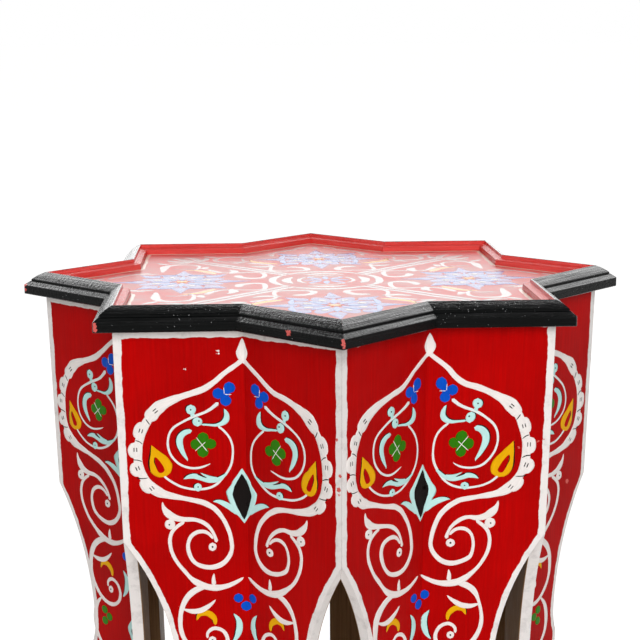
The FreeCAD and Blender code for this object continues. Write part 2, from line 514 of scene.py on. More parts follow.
@dataclass(frozen=True)
class RimFinish:
    """Gloss black enamel outside the crown of the rim and red enamel inside it.

    The enamel lies thick on the slopes of the moulding, where brush lines along each length break the
    highlights into grey streaks, and thin and dull in the quirk and on the upright fascia. Pale grey specks
    are painted into the black, in patches: partly dust and partly painted glints that stand in for the
    sparkle of the gloss. A few corners are worn to red.

    Attributes:
        black: the outer coat, with worn_black in its brush lines.
        red: the inner coat, with deep_red in its brush lines.
        chip: worn enamel.
        dust_and_glints: the pale grey of the specks, partly dust and partly painted glints.
        fascia_reach: how far the fascia stands out from the ridge.
        fascia_ease: how far before it the thick coat begins to end, and fascia_skin how far it still goes.
        quirk_reach: how far out the quirk between the slopes lies, with quirk_range for the coat near it.
        parting: where the change from the inner coat to the outer one begins and ends.
        wander_noise: how that place wanders, in bows of about 11 mm.
        streak_width: width of a brush line, with streak_detail, and black_stops and red_stops for its tones.
        dust_and_glint_noise: the specks, partly dust and partly painted glint, drawn about 2 mm apart so
            that
        they show, with speck_patch_noise, speck_patch_share and dust_and_glint_range for their patches of
        about 110 mm.
        line_range: how the coat thickens with the brush lines.
        inner_loss: how much thinner the coat is inside the crown.
        gloss_range: how the roughness follows the brush lines.
        coat_roughness: roughness of the thick coat.
        lump_noise: small lumps under the coat, about 2.4 mm wide.
        lump_relief: their height, and streak_relief that of the brush lines.
        specular: strength of the thin coat's gloss.
        worn: the worn spots.
    """

    black: str = "#050606"
    worn_black: str = "#1A1B1B"
    red: str = "#DB4540"
    deep_red: str = "#BC2A26"
    chip: str = "#D2605A"
    # Pale grey specks, partly dust and partly painted glints that stand in for the gloss's sparkle
    dust_and_glints: str = "#A9AAAB"
    fascia_reach: float = 16.3
    fascia_ease: float = 0.8
    fascia_skin: float = 0.1
    quirk_reach: float = 10.9
    quirk_range: Range = (0.7, 1.3, 0.0, 1.0)
    parting: tuple[float, float] = (-0.4, 0.0)
    wander_noise: Noise = (90.0, 2.0, 0.5)
    streak_width: float = 1.6
    streak_detail: Detail = (5.0, 0.75)
    black_stops: tuple[float, float] = (0.52, 0.8)
    red_stops: tuple[float, float] = (0.25, 0.6)
    dust_and_glint_noise: Noise = (520.0, 1.0, 0.5)
    speck_patch_noise: Noise = (9.0, 1.0, 0.5)
    speck_patch_share: float = 0.28
    dust_and_glint_range: Range = (0.905, 0.935, 0.0, 0.8)
    line_range: Range = (0.38, 0.58, 0.25, 1.0)
    inner_loss: float = 0.7
    gloss_range: Range = (0.3, 0.75, 0.12, 0.26)
    coat_roughness: float = 0.14
    lump_noise: Noise = (420.0, 2.0, 0.5)
    lump_relief: float = 0.45
    streak_relief: float = 0.45
    specular: float = 0.05
    worn: tuple[Mark, ...] = (
        Mark(-44.2, -256.9, 539.9, 2.3), Mark(-43.2, -257.9, 541.2, 1.4), Mark(-18.4, -282.6, 547.2, 1.0),
        Mark(-1.0, -301.0, 543.6, 1.4), Mark(-0.6, -301.0, 541.0, 2.0), Mark(-0.2, -301.0, 538.4, 2.2),
        Mark(0.4, -301.0, 535.6, 1.8), Mark(-210.8, -212.9, 540.8, 1.5), Mark(-210.6, -212.9, 538.2, 1.8),
        Mark(-210.2, -212.9, 536.0, 1.4), Mark(-298.9, -1.6, 542.5, 1.8), Mark(-298.6, -2.4, 538.0, 1.6),
    )

    def make(self, plan: StarPlan) -> bpy.types.Material:
        """Builds the material.

        Args:
            plan: the star's sizes.

        Returns:
            The rim enamel material.
        """
        material, tree, output = new_material("black_and_red_enamel_on_moulding")
        add = partial(add_node, tree)
        star = star_sockets(tree, plan.ridge_apothem)
        streaks = add("TexNoise", None, star.line, None, 1.0 / self.streak_width, *self.streak_detail)
        wander = add("TexNoise", None, star.object, None, *self.wander_noise)
        moved = add("Math", "ADD", star.reach, wander)
        inside = add("MapRange", "SMOOTHSTEP", moved, *self.parting, 1.0, 0.0)
        coats = []
        for stops, tones in (
            (self.black_stops, (self.black, self.worn_black)), (self.red_stops, (self.deep_red, self.red))
        ):
            coats.append(fill_ramp(add("ValToRGB", None, streaks), *zip(stops, map(linear, tones))))
        colour = add("Mix", "RGBA", Factor=inside, A=coats[0], B=coats[1])
        spots = worn_spots(tree, star, self.worn)
        colour = add("Mix", "RGBA", Factor=spots, A=colour, B=linear(self.chip))

        # Pale grey specks in the black enamel, in patches: partly dust and partly painted glints
        dust_and_glints = add("TexNoise", None, star.object, None, *self.dust_and_glint_noise)
        drifts = add("TexNoise", None, star.object, None, *self.speck_patch_noise)
        dust_and_glints = add("Math", "MULTIPLY_ADD", drifts, self.speck_patch_share, dust_and_glints)
        dust_and_glints = add("MapRange", None, dust_and_glints, *self.dust_and_glint_range)
        dust_and_glints = add("Math", "MULTIPLY", dust_and_glints, add("Math", "SUBTRACT", 1.0, inside))
        colour = add("Mix", "RGBA", Factor=dust_and_glints, A=colour, B=linear(self.dust_and_glints))

        # The thick coat stands on the slopes only, not in the quirk, and thins out between the brush lines
        slope_ends = (self.fascia_reach - self.fascia_ease, self.fascia_reach - self.fascia_skin)
        slopes = add("MapRange", None, star.reach, *slope_ends, 1.0, 0.0)
        thick = add("Math", "MULTIPLY", slopes, add("MapRange", None, streaks, *self.line_range))
        quirk = add("Math", "ABSOLUTE", add("Math", "SUBTRACT", star.reach, self.quirk_reach))
        thick = add("Math", "MULTIPLY", thick, add("MapRange", None, quirk, *self.quirk_range))
        share = add("Math", "MULTIPLY_ADD", inside, -self.inner_loss, 1.0)
        thick = add("Math", "MULTIPLY", thick, share)

        # Relief: brush lines along the moulding, and small lumps
        gloss = add("MapRange", None, streaks, *self.gloss_range)
        lumps = add("TexNoise", None, star.object, None, *self.lump_noise)
        relief = add("Math", "MULTIPLY", streaks, self.streak_relief)
        relief = add("Math", "MULTIPLY_ADD", lumps, self.lump_relief, relief)
        bump = add("Bump", None, Strength=1.0, Distance=MM, Height=relief)
        enamel = add(
            "BsdfPrincipled", None, Base_Color=colour, Roughness=gloss, Specular_IOR_Level=self.specular,
            Normal=bump, Coat_Weight=thick, Coat_Roughness=self.coat_roughness, Coat_Normal=bump,
        )
        tree.links.new(enamel.outputs[0], output.inputs[0])
        return material


@dataclass(frozen=True)
class PanelFinish:
    """Red oil paint under an old varnish, flat and glossy, so that it mirrors the pale room at a low angle.

    Attributes:
        red: the coat, with brown where it is thin.
        blotch_length: size of its blotches, with blotch_detail, and blotch_stops for their tones.
        gloss_range: how the roughness follows the blotches.
        fine_noise: the varnish's fine unevenness, about 4 mm wide.
        fine_relief: its height.
    """

    red: str = "#C0221A"
    brown: str = "#A02A1E"
    blotch_length: float = 45.0
    blotch_detail: Detail = (5.0, 0.6)
    blotch_stops: tuple[float, float] = (0.3, 0.6)
    gloss_range: Range = (0.3, 0.7, 0.28, 0.38)
    fine_noise: Noise = (260.0, 4.0, 0.6)
    fine_relief: float = 0.015

    def make(self) -> bpy.types.Material:
        """Builds the material.

        Returns:
            The varnished panel material.
        """
        material, tree, output = new_material("varnished_red_oil_paint")
        add = partial(add_node, tree)
        place = add("TexCoord").outputs["Object"]
        blotch = add("TexNoise", None, place, None, 1.0 / (self.blotch_length * MM), *self.blotch_detail)
        tones = (linear(self.brown), linear(self.red))
        red = fill_ramp(add("ValToRGB", None, blotch), *zip(self.blotch_stops, tones))
        fine = add("TexNoise", None, place, None, *self.fine_noise)
        bump = add("Bump", None, Strength=1.0, Distance=self.fine_relief * MM, Height=fine)
        gloss = add("MapRange", None, blotch, *self.gloss_range)
        varnish = add("BsdfPrincipled", None, Base_Color=red, Roughness=gloss, Normal=bump)
        tree.links.new(varnish.outputs[0], output.inputs[0])
        return material


@dataclass(frozen=True)
class BareWood:
    """Planed softwood with no finish, slightly yellow, with a soft straight grain.

    Attributes:
        light: the wood, with dark in its grain.
        grain_width: width of the grain, with grain_detail, and grain_stops for its tones.
        grain_pace: how slowly the grain changes along its length.
        relief: height of the grain, and relief_strength its share in the shading.
        roughness: roughness of the wood.
        specular: strength of its gloss.
    """

    light: str = "#B58E63"
    dark: str = "#84603E"
    grain_width: float = 3.0
    grain_detail: Detail = (5.0, 0.65)
    grain_stops: tuple[float, float] = (0.32, 0.66)
    grain_pace: float = 0.06
    relief: float = 0.2
    relief_strength: float = 0.6
    roughness: float = 0.78
    specular: float = 0.3

    def make(self) -> bpy.types.Material:
        """Builds the material.

        Returns:
            The bare wood material.
        """
        material, tree, output = new_material("bare_planed_softwood")
        add = partial(add_node, tree)
        place = add("TexCoord").outputs["Object"]
        long_way = add("Mapping", None, place, Scale=(1.0, 1.0, self.grain_pace))
        grain = add("TexNoise", None, long_way, None, 1.0 / (self.grain_width * MM), *self.grain_detail)
        tones = (linear(self.dark), linear(self.light))
        tone = fill_ramp(add("ValToRGB", None, grain), *zip(self.grain_stops, tones))
        bump = add("Bump", None, Strength=self.relief_strength, Distance=self.relief * MM, Height=grain)
        wood = add(
            "BsdfPrincipled", None, Base_Color=tone, Roughness=self.roughness,
            Specular_IOR_Level=self.specular, Normal=bump,
        )
        tree.links.new(wood.outputs[0], output.inputs[0])
        return material


class Paint(Enum):
    """Colours on the painter's palette."""

    WHITE = "#EDE7E3"
    PALE = "#E3EAE8"
    AQUA = "#BDE7E3"
    BLUE = "#004EC1"
    GREEN = "#2A7200"
    YELLOW = "#E6AA00"
    RED = "#B20101"
    BLACK = "#14100F"
    GREY = "#7E8A93"
    PERIWINKLE = "#7A70AC"
    SKY = "#7890CC"
    CREAM = "#E0D0BE"
    IVORY = "#CEC7C4"
    OCHRE = "#DC9400"


@dataclass(frozen=True)
class StrokeFinish:
    """Artist's oil colour laid on with a small round brush.

    Bristle lines run along each stroke, and the tone differs a little from stroke to stroke.

    Attributes:
        paint: the colour.
        specular: strength of its gloss.
        roughness: its roughness.
        bristle_pace: how fast the bristle lines change along a stroke, across it and from one to the next.
        bristle_noise: the bristle lines, with tone_range for their tone.
        relief: their height, and relief_strength its share in the shading.
    """

    paint: Paint
    specular: float
    roughness: float
    bristle_pace: Place = (0.08, 2.4, 53.0)
    bristle_noise: Noise = (1.0, 3.0, 0.6)
    tone_range: Range = (0.3, 0.7, 0.9, 1.04)
    relief: float = 0.15
    relief_strength: float = 0.5

    def make(self) -> bpy.types.Material:
        """Builds the material.

        Returns:
            The oil colour material.
        """
        material, tree, output = new_material(f"{self.paint.name.lower()}_oil_colour_brushed")
        add = partial(add_node, tree)
        brush = add("Attribute", {"attribute_name": STROKE_ATTRIBUTE}).outputs["Vector"]
        bristle_place = add("VectorMath", "MULTIPLY", brush, self.bristle_pace)
        bristles = add("TexNoise", None, bristle_place, None, *self.bristle_noise)
        tone = add("MapRange", None, bristles, *self.tone_range)
        colour = add("VectorMath", "SCALE", linear(self.paint.value)[:3], Scale=tone)
        bump = add("Bump", None, Strength=self.relief_strength, Distance=self.relief * MM, Height=bristles)
        oil = add(
            "BsdfPrincipled", None, Base_Color=colour, Roughness=self.roughness,
            Specular_IOR_Level=self.specular, Normal=bump,
        )
        tree.links.new(oil.outputs[0], output.inputs[0])
        return material


class Symmetry(Enum):
    """How a stroke of a drawing repeats about the drawing's middle line."""

    PAIR = "drawn on both sides"
    JOINED = "one stroke that crosses over"
    MIDDLE = "on the middle line"


@dataclass(frozen=True)
class Stroke:
    """One stroke of the brush in a flat drawing.

    Attributes:
        points: place across, place down and half-width, each in millimetres, at the points it passes.
        symmetry: how it repeats.
        layer: how far above the first coat it lies, in steps.
    """

    points: tuple[Place, ...]
    symmetry: Symmetry = Symmetry.PAIR
    layer: int = 0

    def runs(self) -> list[list[Place]]:
        """Gives the lines of points that the stroke makes once it is repeated.

        Returns:
            One or two lines of points.
        """
        mirrored = [(-across, down, half) for across, down, half in self.points]
        if self.symmetry is Symmetry.PAIR:
            return [list(self.points), mirrored]
        if self.symmetry is Symmetry.JOINED:
            return [mirrored[:0:-1] + list(self.points)]
        return [list(self.points)]


def stroke(*points: Place, **options: Any) -> Stroke:
    """Makes a stroke from its points and any of its other fields."""
    return Stroke(points, **options)


def dot(
    across: float, down: float, radius: float, layer: int = 1, symmetry: Symmetry = Symmetry.PAIR
) -> Stroke:
    """Makes a round dab of paint.

    Args:
        across: place of its middle across the drawing.
        down: place of its middle down the drawing.
        radius: its radius.
        layer: its layer.
        symmetry: how it repeats.

    Returns:
        The dab as a short stroke.
    """
    reach = radius * DAB_SHARE
    ends = ((across, down - reach, radius), (across, down + reach, radius))
    return Stroke(ends, symmetry, layer)


@dataclass
class Brush:
    """Turns strokes into a thin raised mesh with Geometry Nodes.

    Every stroke becomes a smooth curve, its half-width is kept as the curve's radius, its ends are
    rounded, and a low dome of paint is swept along it.

    Attributes:
        step: length of a stroke's steps.
        least_steps: least number of them.
        rise: full height of the paint.
        layer_rise: how much higher each layer lies.
        sink: how deep the dome's edge lies in the board.
        steepness: how steeply the dome rises from its edge.
        tremble: how much the half-width trembles, as a share of it.
        tremble_length: length of that tremble.
        least_half: half-width at the very end of a stroke.
        swing: factor and shift that make the tremble's noise swing about one either way.
        dome_points: points across the dome.
        edge_pace: how fast from its edge a stroke reaches its layer.
        tree: the node tree.
    """

    step: float = 1.7
    least_steps: int = 8
    rise: float = 0.24
    layer_rise: float = 0.07
    sink: float = 0.05
    steepness: float = 0.45
    tremble: float = 0.10
    tremble_length: float = 9.0
    least_half: float = 0.03
    swing: tuple[float, float] = (4.0, -2.0)
    dome_points: int = 7
    edge_pace: float = 3.0
    tree: bpy.types.GeometryNodeTree = field(init=False)

    def __post_init__(self) -> None:
        """Builds the tree once."""
        self.tree = self.build_tree()

    def build_tree(self) -> bpy.types.GeometryNodeTree:
        """Builds the Geometry Nodes tree of a stroke.

        Returns:
            The tree, with named inputs for its sizes.
        """
        tree = bpy.data.node_groups.new("brush_stroke", "GeometryNodeTree")
        for name, side, kind in (
            ("Geometry", "INPUT", "Geometry"), ("Geometry", "OUTPUT", "Geometry"),
            ("Step", "INPUT", "Float"), ("Least Steps", "INPUT", "Int"), ("Rise", "INPUT", "Float"),
            ("Layer Rise", "INPUT", "Float"), ("Sink", "INPUT", "Float"), ("Steepness", "INPUT", "Float"),
            ("Tremble", "INPUT", "Float"), ("Tremble Length", "INPUT", "Float"), ("Seed", "INPUT", "Int"),
            ("Least Half", "INPUT", "Float"), ("Dome Points", "INPUT", "Int"),
            ("Edge Pace", "INPUT", "Float"), ("Material", "INPUT", "Material"),
        ):
            tree.interface.new_socket(name=name, in_out=side, socket_type=f"NodeSocket{kind}")
        add = partial(add_node, tree)
        store, stored = "GeometryNodeStoreNamedAttribute", "GeometryNodeInputNamedAttribute"
        given = add("NodeGroupInput").outputs

        smooth = add("GeometryNodeCurveSplineType", {"spline_type": "CATMULL_ROM"}, given["Geometry"])
        total = add("GeometryNodeSplineLength").outputs["Length"]
        steps = add("Math", "MAXIMUM", add("Math", "DIVIDE", total, given["Step"]), given["Least Steps"])
        curve = add("GeometryNodeResampleCurve", {"mode": "COUNT"}, Curve=smooth, Count=steps)
        curve = add("GeometryNodeSetCurveNormal", {"mode": "Z_UP"}, curve)

        # Half-width: trembles a little, and rounds off at both ends of a stroke
        place = add("GeometryNodeInputPosition")
        inverse = add("Math", "DIVIDE", 1.0, given["Tremble Length"])
        noise = add(
            "TexNoise", {"noise_dimensions": "4D"}, place, given["Seed"], Scale=inverse, Detail=1.0
        )
        swing = add("Math", "MULTIPLY_ADD", noise, *self.swing)
        swing = add("Math", "MULTIPLY_ADD", swing, given["Tremble"], 1.0)
        half = add("Math", "MULTIPLY", add("GeometryNodeInputRadius"), swing)
        walked = add("GeometryNodeSplineParameter").outputs["Length"]
        nearest = add("Math", "MINIMUM", walked, add("Math", "SUBTRACT", total, walked))
        share = add("Math", {"operation": "DIVIDE", "use_clamp": True}, nearest, half)
        short = add("Math", "SUBTRACT", 1.0, share)
        short = add("Math", "MULTIPLY", short, short)
        round_share = add("Math", {"operation": "SUBTRACT", "use_clamp": True}, 1.0, short)
        rounded = add("Math", "MULTIPLY", half, add("Math", "SQRT", round_share))
        rounded = add("Math", "MAXIMUM", rounded, given["Least Half"])

        # The finish reads the way along a stroke, the way across it and the stroke's number. Until the
        # sweep, the middle one holds the layer, which the drawing gives as the curve's height
        across, up, above = add("SeparateXYZ", None, place).outputs
        number = add("GeometryNodeCurveOfPoint").outputs["Curve Index"]
        mark = add("CombineXYZ", None, walked, above, number)
        curve = add(store, "FLOAT_VECTOR", curve, None, STROKE_ATTRIBUTE, mark)
        curve = add(store, "FLOAT", curve, None, HALF_WIDTH_ATTRIBUTE, rounded)
        curve = add("GeometryNodeSetPosition", None, curve, None, add("CombineXYZ", None, across, up))

        # Low dome, swept along the stroke
        dome = add(
            "GeometryNodeCurveArc", {"mode": "RADIUS"}, Resolution=given["Dome Points"], Radius=1.0,
            Start_Angle=math.pi, Sweep_Angle=math.pi,
        )
        dome = add("GeometryNodeSetSplineCyclic", None, dome, True, True)
        dome = add(store, "FLOAT", dome, None, ACROSS_ATTRIBUTE, across)
        width = add(stored, "FLOAT", HALF_WIDTH_ATTRIBUTE)
        swept = add("GeometryNodeCurveToMesh", None, curve, dome, width, True)

        # The dome flattens towards its full rise, so broad strokes are no thicker than narrow ones, and
        # an upper layer lifts the whole stroke
        marked = add(stored, "FLOAT_VECTOR", STROKE_ATTRIBUTE)
        along, layer, number = add("SeparateXYZ", None, marked).outputs
        slope = add("Math", "DIVIDE", add("Math", "MULTIPLY", above, given["Steepness"]), given["Rise"])
        level = add("Math", "MULTIPLY", add("Math", "TANH", slope), given["Rise"])
        level = add("Math", "SUBTRACT", level, given["Sink"])
        inward = add("Math", "DIVIDE", above, width)
        inward = add("Math", {"operation": "MULTIPLY", "use_clamp": True}, inward, given["Edge Pace"])
        lift = add("Math", "MULTIPLY", layer, given["Layer Rise"])
        level = add("Math", "MULTIPLY_ADD", inward, lift, level)
        laid_place = add("CombineXYZ", None, across, up, level)
        laid = add("GeometryNodeSetPosition", None, swept, None, laid_place)
        mark = add("CombineXYZ", None, along, add(stored, "FLOAT", ACROSS_ATTRIBUTE), number)
        marked = add(store, "FLOAT_VECTOR", laid, None, STROKE_ATTRIBUTE, mark)
        real = add("GeometryNodeRealizeInstances", None, marked)
        done = add("GeometryNodeSetMaterial", None, real, Material=given["Material"])
        add("NodeGroupOutput", None, done)
        return tree

    def lay(self, strokes: list[Stroke], material: bpy.types.Material, seed: int) -> bpy.types.Mesh:
        """Paints strokes flat on a sheet.

        Args:
            strokes: the strokes.
            material: their finish.
            seed: number that sets the tremble.

        Returns:
            A mesh in millimetres: across, up the sheet, and above it.
        """
        curve = bpy.data.curves.new("drawing", "CURVE")
        curve.dimensions = "3D"
        for stroke in strokes:
            for run in stroke.runs():
                spline = curve.splines.new("POLY")
                spline.points.add(len(run) - 1)
                for point, (across, down, half) in zip(spline.points, run):
                    point.co = (across, -down, stroke.layer, 1.0)
                    point.radius = half
        sheet = bpy.data.objects.new("drawing", curve)
        bpy.context.scene.collection.objects.link(sheet)
        modifier = sheet.modifiers.new("brush", "NODES")
        modifier.node_group = self.tree
        given = {"Seed": seed, "Material": material}
        for item in self.tree.interface.items_tree:
            if item.in_out == "INPUT" and item.name != "Geometry":
                size = item.name.lower().replace(" ", "_")
                modifier[item.identifier] = given[item.name] if item.name in given else getattr(self, size)
        graph = bpy.context.evaluated_depsgraph_get()
        painted = sheet.evaluated_get(graph)
        mesh = bpy.data.meshes.new_from_object(painted, preserve_all_data_layers=True, depsgraph=graph)
        bpy.data.objects.remove(sheet)
        bpy.data.curves.remove(curve)
        for name in (ACROSS_ATTRIBUTE, HALF_WIDTH_ATTRIBUTE):
            mesh.attributes.remove(mesh.attributes[name])
        return mesh


@dataclass(frozen=True)
class HandDrift:
    """How a freehand drawing strays from the pattern, in millimetres.

    Attributes:
        seed: number that sets the slow wander.
        landmarks: spots of the drawing, each as its place across and down, then how far it strays across
            and down on the left, then the same on the right.
        wander: size of the slow wander.
        wave: its length.
        wave_share: height of a slow wave as a share of that size, and fine_share that of a fine one as a
            share of the slow one.
        across_paces: paces of the waves that move the drawing across, and down_paces of those down.
        spread: how far a landmark pulls its neighbourhood along.
    """

    seed: int
    landmarks: tuple[tuple[float, float, float, float, float, float], ...] = ()
    wander: float = 2.0
    wave: float = 55.0
    wave_share: float = 0.6
    fine_share: float = 0.5
    across_paces: Place = (0.6, 1.9, 1.3)
    down_paces: Place = (0.7, 2.1, -1.1)
    spread: float = 13.0

    def shift(self, by: np.ndarray, other: np.ndarray, paces: Place, turns: np.ndarray) -> np.ndarray:
        """Gives the wander one way, from a slow wave and a finer one that crosses it.

        Args:
            by: place of each point along the way that the slow wave runs.
            other: its place along the other way.
            paces: how fast the slow wave changes along the other way, and the finer one along both.
            turns: where the waves begin.

        Returns:
            The shift of each point.
        """
        wave = 2.0 * math.pi / self.wave
        slow = np.sin(wave * by + turns[0]) * np.cos(paces[0] * wave * other + turns[1])
        fine = np.sin(paces[1] * wave * by + paces[2] * wave * other + turns[2])
        return self.wave_share * self.wander * (slow + self.fine_share * fine)

    def moved(self, flat: np.ndarray) -> np.ndarray:
        """Moves the points of a flat drawing.

        Args:
            flat: points as rows of across, up and above.

        Returns:
            The moved points.
        """
        across, down = flat[:, 0], -flat[:, 1]
        turns = np.random.default_rng(self.seed).uniform(0.0, 2.0 * math.pi, 8)
        new_across = across + self.shift(down, across, self.across_paces, turns[:3])
        new_down = down + self.shift(across, down, self.down_paces, turns[3:])
        if self.landmarks:
            marks = np.array([
                (side * spot[0], spot[1], *shift)
                for spot in self.landmarks
                for side, shift in ((-1, spot[2:4]), (1, spot[4:]))
            ])
            gaps = (across[:, None] - marks[:, 0]) ** 2 + (down[:, None] - marks[:, 1]) ** 2
            pull = np.exp(-gaps / (2.0 * self.spread**2))
            pull /= pull.sum(axis=1, keepdims=True)
            new_across += pull @ marks[:, 2]
            new_down += pull @ marks[:, 3]
        return np.column_stack([new_across, -new_down, flat[:, 2]])


@dataclass(frozen=True)
class HollowFold:
    """Folds a flat drawing onto the two boards that meet at one hollow of the star.

    Attributes:
        plan: the star's sizes.
        index: number of the hollow, counted from the point that faces -Y.
    """

    plan: StarPlan
    index: int

    def onto_boards(self, flat: np.ndarray) -> np.ndarray:
        """Maps points of a drawing that hangs from the ridge, its middle line on the crease.

        Args:
            flat: points in millimetres as rows of across, up and above.

        Returns:
            Points in metres in the stool's frame.
        """
        point_angle = FIRST_POINT + PITCH * self.index
        hollow_angle = point_angle + HALF_PITCH
        inner = HOLLOW_SHARE * np.array([math.cos(hollow_angle), math.sin(hollow_angle)])
        across, up, above = flat.T * MM
        height = self.plan.top + up
        point_radius = self.plan.apothem_at(height) / math.cos(QUARTER)
        place = np.column_stack([np.outer(point_radius, inner), height])
        for side, end_angle, normal_angle in (
            (across < 0.0, point_angle, point_angle + QUARTER),
            (across > 0.0, point_angle + PITCH, point_angle),
        ):
            way = np.array([math.cos(end_angle), math.sin(end_angle)]) - inner
            way /= np.linalg.norm(way)
            normal = np.array([math.cos(normal_angle), math.sin(normal_angle)])
            place[side, :2] += np.outer(np.abs(across[side]), way) + np.outer(above[side], normal)
        crease = across == 0.0
        place[crease, :2] += np.outer(above[crease], inner / HOLLOW_SHARE / math.cos(HALF_PITCH))
        return place


def split_at_crease(mesh: bpy.types.Mesh) -> None:
    """Cuts a flat mesh along its middle line so that it can fold there.

    Args:
        mesh: mesh whose middle line is at zero across. It stays closed.
    """
    sheet = bmesh.new()
    sheet.from_mesh(mesh)
    cut = bmesh.ops.bisect_plane(
        sheet, geom=sheet.verts[:] + sheet.edges[:] + sheet.faces[:], dist=CREASE_REACH,
        plane_co=(0.0, 0.0, 0.0), plane_no=(1.0, 0.0, 0.0),
    )
    for part in cut["geom_cut"]:
        if isinstance(part, bmesh.types.BMVert):
            part.co.x = 0.0
    bmesh.ops.triangulate(sheet, faces=[face for face in sheet.faces if len(face.verts) > 4])
    sheet.to_mesh(mesh)
    sheet.free()


def read_points(mesh: bpy.types.Mesh) -> np.ndarray:
    """Reads a mesh's points.

    Args:
        mesh: the mesh.

    Returns:
        Points as rows of x, y and z.
    """
    points = np.empty(len(mesh.vertices) * 3, np.float32)
    mesh.vertices.foreach_get("co", points)
    return points.reshape(-1, 3).astype(float)


def write_points(mesh: bpy.types.Mesh, points: np.ndarray) -> None:
    """Writes a mesh's points.

    Args:
        mesh: the mesh.
        points: points as rows of x, y and z.
    """
    mesh.vertices.foreach_set("co", points.astype(np.float32).ravel())
    mesh.update()


def joined_piece(name: str, meshes: list[bpy.types.Mesh], material: bpy.types.Material) -> bpy.types.Object:
    """Joins meshes into one piece that rides on the stool.

    Args:
        name: the piece's name.
        meshes: its parts; they are removed.
        material: the finish.

    Returns:
        The piece.
    """
    whole = bmesh.new()
    for mesh in meshes:
        whole.from_mesh(mesh)
    target = bpy.data.meshes.new(name)
    whole.to_mesh(target)
    whole.free()
    for mesh in meshes:
        bpy.data.meshes.remove(mesh)
    target.materials.clear()
    target.materials.append(material)
    target.polygons.foreach_set("use_smooth", [True] * len(target.polygons))
    target.polygons.foreach_set("material_index", [0] * len(target.polygons))
    piece = bpy.data.objects.new(name, target)
    bpy.context.scene.collection.objects.link(piece)
    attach(piece, "root")
    log.info("%s: %d triangles", name, sum(len(p.vertices) - 2 for p in target.polygons))
    return piece


